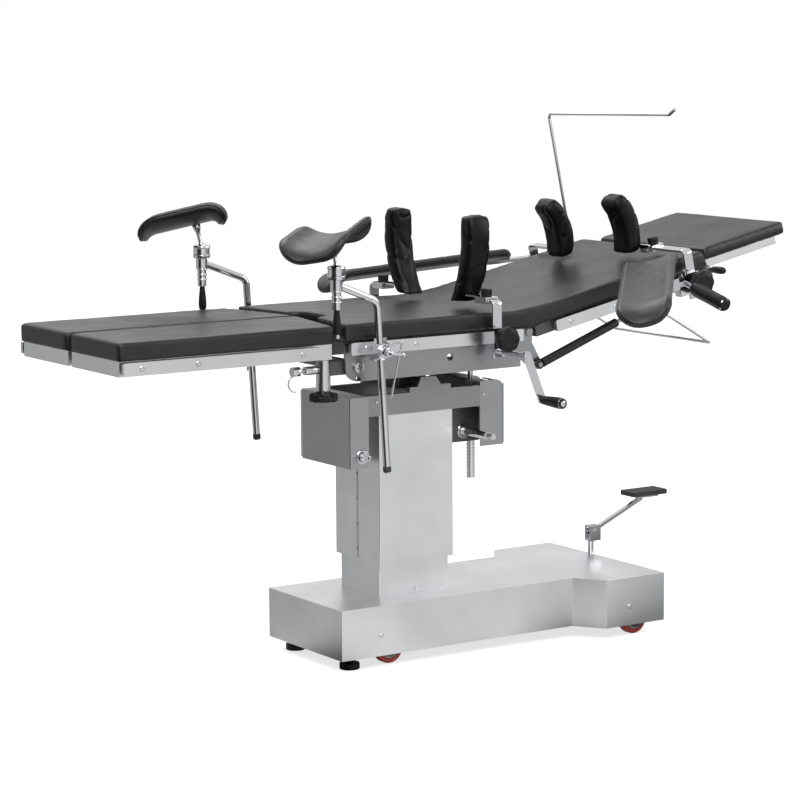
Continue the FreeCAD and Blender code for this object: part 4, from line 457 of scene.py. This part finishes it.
def moulded_cushion(name, node, body, shape, at, turn, pitch, roll, look="leather", edge=9.0):
    """Padded trough: a straight run, drooping rounded ends, a curved section, a rolled rim and its welt.

    shape is run, foot radius and angle, head radius and angle, section radius, width, thickness and the foot
    and head corners, in millimetres and degrees; the foot end points to -x before the piece is turned.
    """
    run, foot_r, foot_a, head_r, head_a, section, width, thick, foot_c, head_c = shape
    foot_l, head_l = foot_r * math.radians(foot_a), head_r * math.radians(head_a)
    low, high = -run / 2 - foot_l, run / 2 + head_l
    rows, cols = 72, 30
    turned = (Matrix.Rotation(math.radians(turn), 3, "Z") @ Matrix.Rotation(-math.radians(pitch), 3, "Y")
              @ Matrix.Rotation(math.radians(roll), 3, "X"))

    def spine(s, off):
        if s < -run / 2:
            a = (-run / 2 - s) / foot_r
            return -run / 2 - (foot_r + off) * math.sin(a), (foot_r + off) * math.cos(a) - foot_r
        if s > run / 2:
            a = (s - run / 2) / head_r
            return run / 2 + (head_r + off) * math.sin(a), (head_r + off) * math.cos(a) - head_r
        return s, off

    def point(s, across, depth):
        a = across / section
        x, z = spine(s, section - (section + depth) * math.cos(a))
        p = turned @ Vector((x, (section + depth) * math.sin(a), z))
        return p / 1000 + at

    verts, faces, rim = [], [], []
    ease = lambda t: 0.5 - 0.5 * math.cos(math.pi * t)
    for i in range(rows + 1):
        s = low + (high - low) * ease(i / rows)
        half = width / 2
        for gap, corner in ((s - low, foot_c), (high - s, head_c)):
            if gap < corner:
                half -= corner - math.sqrt(max(0.0, corner ** 2 - (corner - gap) ** 2))
        to_end = min(s - low, high - s)
        for layer in (0, 1):
            for j in range(cols + 1):
                v = -1 + 2 * ease(j / cols)
                inside = min(1.0, max(0.0, 1 - half * (1 - abs(v)) / edge))
                ended = min(1.0, max(0.0, 1 - to_end / edge))
                full = math.sqrt(max(0.0, 1 - min(1.0, inside ** 2 + ended ** 2)))
                puff = 1.2 * noise.noise(Vector((s * 0.05, v * 3, layer * 5.0))) * full
                depth = (thick / 2) * (1 - full) - puff if layer == 0 else thick - (thick / 2) * (1 - full)
                verts.append(point(s, half * v, depth))
        rim.append((point(s, -half, thick / 2), point(s, half, thick / 2)))
    stride = 2 * (cols + 1)
    for i in range(rows):
        for layer in (0, 1):
            for j in range(cols):
                a = i * stride + layer * (cols + 1) + j
                quad = (a, a + 1, a + 1 + stride, a + stride)
                faces.append(quad if layer == 0 else quad[::-1])
    mesh = from_data(name, verts, faces)
    work = bmesh.new()
    work.from_mesh(mesh)
    bmesh.ops.remove_doubles(work, verts=work.verts, dist=0.00004)
    bmesh.ops.holes_fill(work, edges=[e for e in work.edges if e.is_boundary], sides=0)
    bmesh.ops.recalc_face_normals(work, faces=work.faces)
    work.to_mesh(mesh)
    work.free()
    thing = place_object(name, mesh, look, body, 180.0)
    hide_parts(node)
    line = [a for a, b in rim] + [b for a, b in reversed(rim)]
    clean = [line[0]]
    for p in line[1:]:
        if (p - clean[-1]).length > 0.0015:
            clean.append(p)
    tube(name + "_welt", clean, 0.0021, look, body, 8, True)
    return thing


def crease(co, centre, direction, width, depth, reach=None, low_z=None):
    """Dent along a line on the top of a pad."""
    d = Vector(direction).normalized()
    rel = co - np.array(centre)
    cross = rel[:, 0] * -d.y + rel[:, 1] * d.x
    along = rel[:, 0] * d.x + rel[:, 1] * d.y
    mask = np.exp(-(cross / width) ** 2)
    if reach:
        mask = mask * np.exp(-(along / reach) ** 4)
    if low_z is not None:
        mask = mask * (co[:, 2] > low_z)
    return -depth * mask


def creased(seed, lift=0.0):
    """Pulled creases of a tightly covered small pad; lift draws its underside up."""
    def shape(co, normals):
        fold = np.array([1 - abs(noise.noise(Vector((p[0] * 26 + seed, p[1] * 26, p[2] * 15)))) for p in co])
        return -0.0032 * np.clip(fold, 0, 1) ** 11 - lift * np.clip(-normals[:, 2], 0, 1)
    return shape


def leg_wrinkles(side):
    def shape(co, normals):
        out = np.zeros(len(co))
        top = normals[:, 2] > 0.5
        for x, y, angle, depth in ((-0.345, 0.20, 62, 1.6), (-0.365, 0.13, 48, 1.2), (-0.395, 0.215, 38, 1.0),
                                   (-0.335, 0.075, 70, 1.0)):
            d = (math.cos(math.radians(angle)), side * math.sin(math.radians(angle)), 0)
            out += crease(co, (x, side * y, 0.85), d, 0.006, depth / 1000, 0.055, 0.835) * top
        return out
    return shape


# The moulded cushions: their shapes as moulded_cushion reads them, then where each stands, as the middle of its top
# surface with turn, pitch and roll in degrees.
KNEE_SHAPE = (136.6, 55.0, 50.5, 32.1, 86.0, 112.6, 176.7, 17.0, 65.0, 65.0)
KNEES = {"near": (mm(-377, -309.5, 1049.4), 39.2, 9.5, -9.5), "far": (mm(-405, 315.4, 1058.3), -30.6, 12.9, -2.4)}
ARM_SHAPES = {"near": (513.0, 87.2, 53.5, 113.5, 36.6, 160.7, 120.6, 21.7, 58.0, 14.0),
              "far": (452.0, 87.2, 53.5, 113.5, 20.0, 160.7, 120.6, 21.7, 58.0, 50.0)}
ARMS = {"near": (mm(356, -545.3, 932.1), 50.2, 5.3, -13.0), "far": (mm(345, 400, 907), -3.5, 3.7, -7.7)}
for tag, side in SIDES:
    upholstered("leg_cushion_" + tag, ["leg_pad_" + tag], "leg_" + tag, MATTRESS_VOXEL, 5, shape=leg_wrinkles(side))
    at, turn, pitch, roll = KNEES[tag]
    moulded_cushion("knee_cushion_" + tag, "knee_pad_" + tag, "knee_pad_" + tag, KNEE_SHAPE, at, turn, pitch, roll)
    # the side and shoulder cushions take the leathercloth copy darkened with painted shade
    upholstered("side_cushion_" + tag, ["lateral_pad_" + tag], "lateral_pad_" + tag, 0.004, 46, swell=0.003,
                ripple=0.0012, shape=creased(5.0, 0.006), look="support_leather_painted_shade", pick=True)
    hardware_of("side_carrier_" + tag, "lateral_pad_" + tag, "lateral_pad_" + tag)
    upholstered("shoulder_cushion_" + tag, ["shoulder_pad_" + tag], "shoulder_pad_" + tag, 0.004, 36, swell=0.003,
                ripple=0.0012, shape=creased(9.0), look="support_leather_painted_shade", pick=True)
    hardware_of("shoulder_carrier_" + tag, "shoulder_pad_" + tag, "shoulder_pad_" + tag)
    at, turn, pitch, roll = ARMS[tag]
    moulded_cushion("arm_cushion_" + tag, "arm_board_" + tag, "arm_board_" + tag, ARM_SHAPES[tag], at, turn, pitch,
                    roll)
    hardware_of("arm_hardware_" + tag, "arm_board_" + tag, "arm_board_" + tag)
wedge = []
for y in (-0.2495, 0.2495):
    wedge += [Vector((x / 1000, y, z / 1000)) for x, z in ((222, 804.5), (190, 847.5), (233, 847.5), (240, 797))]
    wedge += [raised(x, y * 1000, z) for x, z in ((268, 804.5), (310, 847.5))]
mattress = upholstered("seat_and_back_mattress", ["seat_pad", "back_pad"], None, MATTRESS_VOXEL, 5, filler=wedge)
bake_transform(mattress)
upholstered("head_cushion", ["head_pad"], "head", MATTRESS_VOXEL, 5)


# ---------------------------------------------------------------- screws, knobs and levers
def ball_knob(name, at, axis, radius, length, body, look="black"):
    """Moulded clamp knob: a lobed barrel with a rounded rim and a shallow dish."""
    lathe(name, at, axis, [(-0.5, radius * 0.74), (0.5, radius * 0.84), (length * 0.2, radius * 0.93),
                           (length * 0.6, radius), (length * 0.85, radius * 0.97), (length, radius * 0.76),
                           (length * 0.97, radius * 0.35), (length * 0.93, radius * 0.1)],
          look, body, 72, 8, 0.06, 50.0)


def flat_screw(name, at, axis, radius, body, look="screw"):
    """Screw head: a low dome with a chamfered rim and a round recess."""
    lathe(name, at, axis, [(-0.4, radius), (0.9, radius), (1.7, radius * 0.86), (1.9, radius * 0.5),
                           (1.2, radius * 0.42), (1.1, radius * 0.05)], look, body, 32)


for tag, side in SIDES:
    out = RY * side
    for k, share in enumerate((-827, -685, -412)):
        flat_screw("leg_rail_screw_%s_%d" % (tag, k), mm(share, side * 260, 786.5), out, 6.5, "leg_" + tag)
    for k, x in enumerate((-239, -102, 162)):
        flat_screw("seat_rail_screw_%s_%d" % (tag, k), mm(x, side * 260, 789.5), out, 6.5, "seat")
    for k, x in enumerate((351, 489, 757)):
        flat_screw("back_rail_screw_%s_%d" % (tag, k), raised(x, side * 260, 789.5), out, 6.5, "back")
    fold = mm(-249, side * 238, 742.5)
    lathe("fold_bolt_" + tag, fold, out, [(-4, 13.4), (1.2, 13.4), (2.6, 12.4), (3.0, 9.5), (3.0, 0.5)],
          "screw", "seat", 40)
    for turn in (25, 115):
        d = RX * math.cos(math.radians(turn)) + RZ * math.sin(math.radians(turn))
        e = RX * -math.sin(math.radians(turn)) + RZ * math.cos(math.radians(turn))
        slab("fold_bolt_slot_%s_%d" % (tag, turn), [(-8.5, -1.1), (8.5, -1.1), (8.5, 1.1), (-8.5, 1.1)],
             fold + out * 0.0028, d, e, out, 0.6, "dark", "seat", 0.2)
    lathe("light_hole_" + tag, mm(-249, side * 238.2, 716), out, [(-0.5, 4.4), (0.3, 4.4), (0.5, 3.6), (0.1, 0.3)],
          "black", "seat", 20)
    # lateral and shoulder supports: clamp knobs on the rails and thumb knobs under the pads
    ball_knob("side_clamp_knob_" + tag, mm(120, side * 296, 789.5), out, 31, 31, "seat")
    shoulder = {"near": 724, "far": 640}[tag]
    ball_knob("shoulder_clamp_knob_" + tag, raised(shoulder, side * 296, 789.5), out, 31, 31, "back")
    for name, at, up, body in (("side_thumb_", mm(120, side * 227, 883.5), RZ, "lateral_pad_"),
                               ("shoulder_thumb_", raised(shoulder, side * 139, 874.5), BZ, "shoulder_pad_")):
        lathe(name + tag, at, up, [(0, 9), (1, 12.6), (4, 13.2), (15, 13.4), (18.5, 12.8), (20, 10.5), (19.4, 4),
                                   (19, 0.6)], "black", body + tag, 48, 6, 0.12, 40.0)
    lean = (RY * side - BZ * 0.3).normalized()
    lathe("arm_clamp_grip_" + tag, raised(692, side * 284, 793.5) + lean * 0.0352, lean,
          [(-1, 12), (0, 16.4), (5, 18.0), (22, 18.8), (60, 18.2), (96, 18.6), (112, 18.0), (118, 15.5), (120.5, 9),
           (119.5, 2)], "black", "back", 60, 5, 0.05, 50.0)
    # star knob under the leg bracket
    top = {"near": 685.7, "far": 722.7}[tag]
    star = mm(-333, side * 215, top)
    lathe("leg_star_" + tag, star, -RZ,
          [(-0.5, 15), (0.4, 22), (3, 32.5), (7, 34.6), (12, 34.4), (16, 31), (18, 24), (18.4, 8), (17.6, 3)],
          "black", "leg_knob_" + tag, 84, 7, 0.12, 50.0)

# pole foot caps and the ends of the crutch poles
for tag, foot, head in (("near", (-201.6, -282, 498), (-343.5, -294.3, 946)),
                        ("far", (-223, 282, 507), (-364.6, 294.3, 955))):
    foot, top = mm(*foot), mm(*head)
    up = Vector((-math.sin(math.radians(3.5)), 0, math.cos(math.radians(3.5))))
    lathe("pole_foot_" + tag, foot - up * 0.0014, up, [(0, 6.4), (1.4, 8.8), (5, 9.7), (14, 9.8), (15.5, 9.2)],
          "rubber", "knee_pole_" + tag, 32)
    lathe("pole_grip_" + tag, top - RZ * 0.0562, -RZ, [(-2, 5.2), (0, 6.0), (3, 6.2), (16, 7.6), (34, 9.4), (48, 9.8),
                                                     (56, 8.8), (60, 6.0), (60.8, 2.0)], "black",
          "knee_pole_" + tag, 40, smooth=60.0)
    for k, (drop, radius) in enumerate(((13.5, 13.4), (26, 12.6), (38, 12.8), (54, 10.2))):
        lathe("pole_collar_%s_%d" % (tag, k), top - RZ * drop / 1000, -RZ, [(0, radius - 2.6), (0.5, radius - 0.5),
                                                                          (1.4, radius), (2.8, radius),
                                                                          (3.6, radius - 0.6), (4.2, radius - 2.8)],
              "chrome", "knee_pole_" + tag, 40)
    base = {"near": 957.3, "far": 966.3}[tag]
    cup = Vector((top.x, top.y, base / 1000))
    lathe("knee_cup_" + tag, cup, RZ,
          [(0, 18.5), (1.5, 20.6), (3, 21), (9, 21), (10, 20.2), (24, 20.2), (25, 21), (29, 21), (31.5, 19.5),
           (33, 15), (34, 8), (34.2, 1)], "chrome", "knee_pad_" + tag, 48, 12, 0.03)
    seat = {"near": mm(-351.5, -291.7, 1044), "far": mm(-378.3, 298.8, 1055)}[tag]
    root = cup + RZ * 0.030
    tube("knee_neck_" + tag, [root + (seat - root) * t for t in (0, 0.08, 0.16, 0.5, 0.62, 0.75, 1.0)],
         [0.0085, 0.0075, 0.0052, 0.0052, 0.0066, 0.0096, 0.0110], "chrome", "knee_pad_" + tag, 28)
    lathe("cup_band_%s_0" % tag, top + RZ * 17.6 / 1000, RZ,
          [(0, 19.8), (0.4, 21.3), (1.0, 21.6), (2.2, 21.6), (2.8, 21.2), (3.2, 19.8)], "chrome", "knee_pad_" + tag,
          48)

# crutch clamps on the seat rail: concentric rings, ball-ended wing lever and the long thin release lever
for tag, x in (("near", -219), ("far", -240)):
    side = -1 if tag == "near" else 1
    out = RY * side
    hub = mm(x, side * 302, 783)
    lathe("crutch_ring_" + tag, hub, out,
          [(-1, 17.2), (0.6, 18.6), (2.6, 18.8), (3.6, 17.6), (2.6, 15.4), (2.4, 13.2), (4.6, 12.4), (5.6, 10.6),
           (5.6, 8.6), (4.8, 8.2)], "chrome", "seat", 48)
    lathe("crutch_cap_" + tag, mm(x, side * 321.6, 783), out, [(-6, 10.2), (0, 10.6), (2.2, 9.4), (2.8, 6), (1.8, 4.6),
                                                              (1.8, 0.5)], "chrome", "seat", 40)
    start = mm(x, side * 325, 783)
    tip = start + mm(33, side * 6, -6.5)
    tube("crutch_wing_" + tag, [start + (tip - start) * t for t in (0.0, 0.2, 0.45, 0.7, 0.9, 1.0)],
         [0.0052, 0.0046, 0.0034, 0.0028, 0.0026, 0.0026], "chrome", "seat")
    lathe("crutch_ball_" + tag, tip - mm(5, 0, 0), RX, [(0.2, 0.6), (0.9, 2.9), (2.4, 4.5), (4.6, 5.4), (6.8, 5.0),
                                                       (8.6, 3.4), (9.6, 0.6)], "chrome", "seat", 32,
          smooth=80.0)
    high, low_end = mm(x + 38, side * 318, 783 + 25), mm(x + 10, side * 312, 783 - 107)
    tube("crutch_release_" + tag, [high + (low_end - high) * t for t in (0.0, 0.03, 0.35, 0.7, 0.97, 1.0)],
         [0.0012, 0.0024, 0.0022, 0.0022, 0.0028, 0.0016], "chrome", "seat")
    slab("crutch_release_root_" + tag, [(-14, -5), (-12, 6), (36, 27), (41, 22)], mm(x, side * 308, 783), RX, RZ, out,
         3.0, "chrome", "seat", 0.8)

# shaft bosses on the gear housings
for x, z, y, r, shaft in ((-161, 507, -111.5, 18.0, "lateral_shaft"), (166, 536, -62.0, 19.0, "tilt_shaft")):
    lathe("boss_" + shaft, mm(x, y, z), -RY, [(-0.5, r), (1.4, r), (2.4, r - 1.2), (2.4, r - 4.6), (4.2, r - 5.2),
                                              (5.6, r - 6.6), (5.6, 8.3)], "chrome", "column_head", 48)
lathe("shaft_pin_dot", mm(-161, -137.1, 507), -RY, [(-0.1, 2.8), (0.25, 2.6), (0.1, 0.3)], "black", "lateral_shaft",
      20)
tube("shaft_cross_pin", [mm(-161 + 13 * t, -127, 507 + 3 * t) for t in (-1, -0.94, 0, 0.94, 1)],
     [0.0018, 0.0025, 0.0025, 0.0025, 0.0018], "chrome", "lateral_shaft")

# cover and column screws
for side in (-1, 1):
    word = "near" if side < 0 else "far"
    for k, (x, y, z, r, body) in enumerate(((-148, 169.6, 80.6, 6.0, "base"), (543.5, 244.2, 79, 6.0, "base"),
                                            (191, 111.6, 630.4, 4.6, "column_head"), (1.8, 87.6, 164, 4.4, "base"),
                                            (-120, 111.6, 636, 4.0, "column_head"))):
        flat_screw("cover_screw_%s_%d" % (word, k), mm(x, side * y, z), RY * side, r, body)

# column seam on the foot-side face, with its rivets
slab("column_seam", [(-2.6, -118), (2.6, -118), (2.6, 118), (-2.6, 118)], mm(-107.0, 0, 358), RY, RZ, -RX, 0.7,
     "screw", "column_head", 0.25)
for y in (-3.1, 3.1):
    tube("column_seam_line_%d" % (y > 0), [mm(-107.1, y, 240 + 236 * t / 8) for t in range(9)], 0.0005, "dark",
         "column_head", 6)
for k in range(4):
    lathe("column_seam_rivet_%d" % k, mm(-107.6, 0, 262 + 62 * k), -RX, [(-0.2, 2.4), (0.5, 2.2), (0.9, 1.2),
                                                                       (0.9, 0.2)], "dark", "column_head",
          18)

# crank grip
lathe("crank_grip", mm(204.6, -340.4, 640.7), -RY, [(-0.6, 8.6), (0.4, 10.2), (10, 10.9), (40, 12.8), (66, 14.0),
                                                    (76, 13.6), (80, 11.6), (80.6, 6)], "black", "crank",
      40)
lathe("crank_grip_cap", mm(204.6, -420.8, 640.7), -RY, [(-0.4, 7.4), (1.4, 7.2), (2.6, 5.6), (2.9, 0.5)], "chrome",
      "crank", 28)

# head lever grip, the light tabs under the clamps on the back rails and the corner lines of the housings
lathe("head_lever_grip", raised(808, -250, 795), -RY, [(0, 4.6), (1, 6.4), (6, 7.9), (20, 9.2), (34, 9.6), (44, 8.6),
                                                      (50, 5.6), (51, 1.5)], "black", "head_lever",
      36, smooth=60.0)
for tag, side in SIDES:
    slab("rail_end_tab_" + tag, [(-11, 18), (11, 18), (12, -30), (9, -39), (0, -43), (-9, -39), (-12, -30)],
         raised(640 if side < 0 else 724, side * 262, 776), BX, BZ, RY * side, 3.0, "chrome", "back", 0.9)
for x, z0, z1, word in ((-196.3, 484, 648, "foot"), (250.3, 506, 655, "head")):
    for side in (-1, 1):
        tube("housing_edge_%s_%s" % (word, "near" if side < 0 else "far"),
             [mm(x, side * 111.6, z0 + (z1 - z0) * t / 6) for t in range(7)], 0.0011, "dark", "column_head",
             8)

# wheel hubs
for body, x, y in (("foot_wheel_near", -102, -124), ("foot_wheel_far", -102, 124), ("head_wheel_near", 581, -205),
                   ("head_wheel_far", 581, 205)):
    for way in (-1, 1):
        lathe("%s_hub_%s" % (body, "in" if way * y < 0 else "out"), mm(x, y + way * 12, 37.5), RY * way,
              [(-0.6, 24.5), (0.5, 24.5), (1.1, 23), (0.3, 20.5), (0.2, 12.5), (1.2, 11.5), (1.3, 8), (0.9, 5.6)],
              "hub", body, 44)

# the foot end of each bracket arm is dark, the hub end bright
for tag in ("near", "far"):
    thing = NODES["leg_bracket_" + tag]
    thing.data.materials.append(M["dark"])
    for face in thing.data.polygons:
        if face.center.x > -0.313:
            face.material_index = 1

# ---------------------------------------------------------------- studio
# Brightness of the studio walls by bearing, as shares of a full turn from due -X: flags and softboxes in turn.
WALLS = ((0.0, 0.10), (0.03, 0.04), (0.10, 0.04), (0.13, 0.30), (0.17, 0.92), (0.27, 0.92), (0.30, 0.68),
         (0.385, 0.78), (0.42, 0.10), (0.46, 0.30), (0.50, 0.90), (0.56, 0.25), (0.62, 0.80), (0.71, 0.80),
         (0.75, 0.30), (0.80, 0.43), (0.88, 0.43), (0.93, 0.60), (0.97, 0.20), (1.0, 0.10))


def banded(tree, vector):
    """Brightness by bearing round the upright axis."""
    split = tree.nodes.new("ShaderNodeSeparateXYZ")
    link(tree, vector, split.inputs[0])
    angle = tree.nodes.new("ShaderNodeMath")
    angle.operation = "ARCTAN2"
    link(tree, split.outputs["Y"], angle.inputs[0])
    link(tree, split.outputs["X"], angle.inputs[1])
    share = tree.nodes.new("ShaderNodeMath")
    share.operation = "MULTIPLY_ADD"
    share.inputs[1].default_value = 0.5 / math.pi
    share.inputs[2].default_value = 0.5
    link(tree, angle.outputs[0], share.inputs[0])
    return ramp(tree, share.outputs[0], WALLS)


floor_mesh = from_data("floor", [(-9, -9, -0.0005), (9, -9, -0.0005), (9, 9, -0.0005), (-9, 9, -0.0005)],
                       [(0, 1, 2, 3)])
floor = bpy.data.objects.new("floor", floor_mesh)
bpy.context.scene.collection.objects.link(floor)
floor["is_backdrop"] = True
floor_look = bpy.data.materials.new("floor")
floor_look.use_nodes = True
tree = floor_look.node_tree
tree.nodes.clear()
out = tree.nodes.new("ShaderNodeOutputMaterial")
matte = tree.nodes.new("ShaderNodeBsdfDiffuse")
matte.inputs["Color"].default_value = (0.82, 0.82, 0.82, 1)
glow = tree.nodes.new("ShaderNodeEmission")
path = tree.nodes.new("ShaderNodeLightPath")
seen = tree.nodes.new("ShaderNodeMath")
seen.operation = "MAXIMUM"
link(tree, path.outputs["Is Camera Ray"], seen.inputs[0])
link(tree, path.outputs["Is Transmission Ray"], seen.inputs[1])
scaled = tree.nodes.new("ShaderNodeMath")
scaled.operation = "MULTIPLY"
scaled.inputs[1].default_value = 0.7
link(tree, seen.outputs[0], scaled.inputs[0])
link(tree, scaled.outputs[0], glow.inputs["Strength"])
both = tree.nodes.new("ShaderNodeAddShader")
link(tree, matte.outputs[0], both.inputs[0])
link(tree, glow.outputs[0], both.inputs[1])
mirrored = tree.nodes.new("ShaderNodeEmission")
position = tree.nodes.new("ShaderNodeNewGeometry")
link(tree, banded(tree, position.outputs["Position"]), mirrored.inputs["Color"])
mirrored.inputs["Strength"].default_value = 1.0
pick = tree.nodes.new("ShaderNodeMixShader")
link(tree, path.outputs["Is Glossy Ray"], pick.inputs[0])
link(tree, both.outputs[0], pick.inputs[1])
link(tree, mirrored.outputs[0], pick.inputs[2])
link(tree, pick.outputs[0], out.inputs["Surface"])
floor_mesh.materials.append(floor_look)

world = bpy.data.worlds.new("studio")
bpy.context.scene.world = world
world.use_nodes = True
tree = world.node_tree
tree.nodes.clear()
out = tree.nodes.new("ShaderNodeOutputWorld")
path = tree.nodes.new("ShaderNodeLightPath")
place = tree.nodes.new("ShaderNodeTexCoord")
lit = tree.nodes.new("ShaderNodeBackground")
lit.inputs["Color"].default_value = (1, 1, 1, 1)
lit.inputs["Strength"].default_value = 0.55
white = tree.nodes.new("ShaderNodeBackground")
white.inputs["Color"].default_value = (1, 1, 1, 1)
white.inputs["Strength"].default_value = 1.0
mirror = tree.nodes.new("ShaderNodeBackground")
height = tree.nodes.new("ShaderNodeSeparateXYZ")
link(tree, place.outputs["Generated"], height.inputs[0])
ceiling = tree.nodes.new("ShaderNodeMixRGB")
ceiling.inputs[2].default_value = (0.85, 0.85, 0.85, 1)
link(tree, ramp(tree, height.outputs["Z"], [(0.25, 0.0), (0.6, 1.0)]), ceiling.inputs[0])
link(tree, banded(tree, place.outputs["Generated"]), ceiling.inputs[1])
link(tree, ceiling.outputs[0], mirror.inputs["Color"])
mirror.inputs["Strength"].default_value = 1.0
is_glossy = tree.nodes.new("ShaderNodeMixShader")
link(tree, path.outputs["Is Glossy Ray"], is_glossy.inputs[0])
link(tree, lit.outputs[0], is_glossy.inputs[1])
link(tree, mirror.outputs[0], is_glossy.inputs[2])
is_camera = tree.nodes.new("ShaderNodeMixShader")
clear = tree.nodes.new("ShaderNodeMath")
clear.operation = "MAXIMUM"
link(tree, path.outputs["Is Camera Ray"], clear.inputs[0])
link(tree, path.outputs["Is Transmission Ray"], clear.inputs[1])
link(tree, clear.outputs[0], is_camera.inputs[0])
link(tree, is_glossy.outputs[0], is_camera.inputs[1])
link(tree, white.outputs[0], is_camera.inputs[2])
link(tree, is_camera.outputs[0], out.inputs["Surface"])


def area_light(name, at, target, size, power):
    data = bpy.data.lights.new(name, "AREA")
    data.shape, data.size, data.energy = "SQUARE", size, power
    lamp = bpy.data.objects.new(name, data)
    bpy.context.scene.collection.objects.link(lamp)
    lamp.location = at
    lamp.rotation_mode = "QUATERNION"
    lamp.rotation_quaternion = (Vector(target) - Vector(at)).to_track_quat("-Z", "Y")
    return lamp


area_light("key", (-1.6, -2.6, 3.4), (0.1, 0, 0.7), 2.4, 78.0)
area_light("fill", (3.2, -2.2, 2.2), (0.1, 0, 0.6), 2.0, 38.0)
area_light("top", (0.4, 1.8, 3.6), (0.1, 0, 0.8), 2.6, 42.0)

camera_data = bpy.data.cameras.new("camera")
camera_data.lens, camera_data.sensor_width = 125.59, 36.0
camera_data.clip_start, camera_data.clip_end = 0.1, 60.0
camera = bpy.data.objects.new("camera", camera_data)
bpy.context.scene.collection.objects.link(camera)
yaw, pitch, roll = 0.5791, 0.1398, -0.007
forward = Vector((math.cos(pitch) * math.sin(yaw), math.cos(pitch) * math.cos(yaw), -math.sin(pitch)))
right = Vector((math.cos(yaw), -math.sin(yaw), 0))
upward = right.cross(forward)
right2 = right * math.cos(roll) + upward * math.sin(roll)
up2 = upward * math.cos(roll) - right * math.sin(roll)
camera.matrix_world = Matrix.Translation((-3.68848, -5.67081, 1.57081)) @ Matrix(
    (right2, up2, -forward)).transposed().to_4x4()
bpy.context.scene.camera = camera
bpy.context.scene.view_settings.view_transform = "Standard"

low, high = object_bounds()
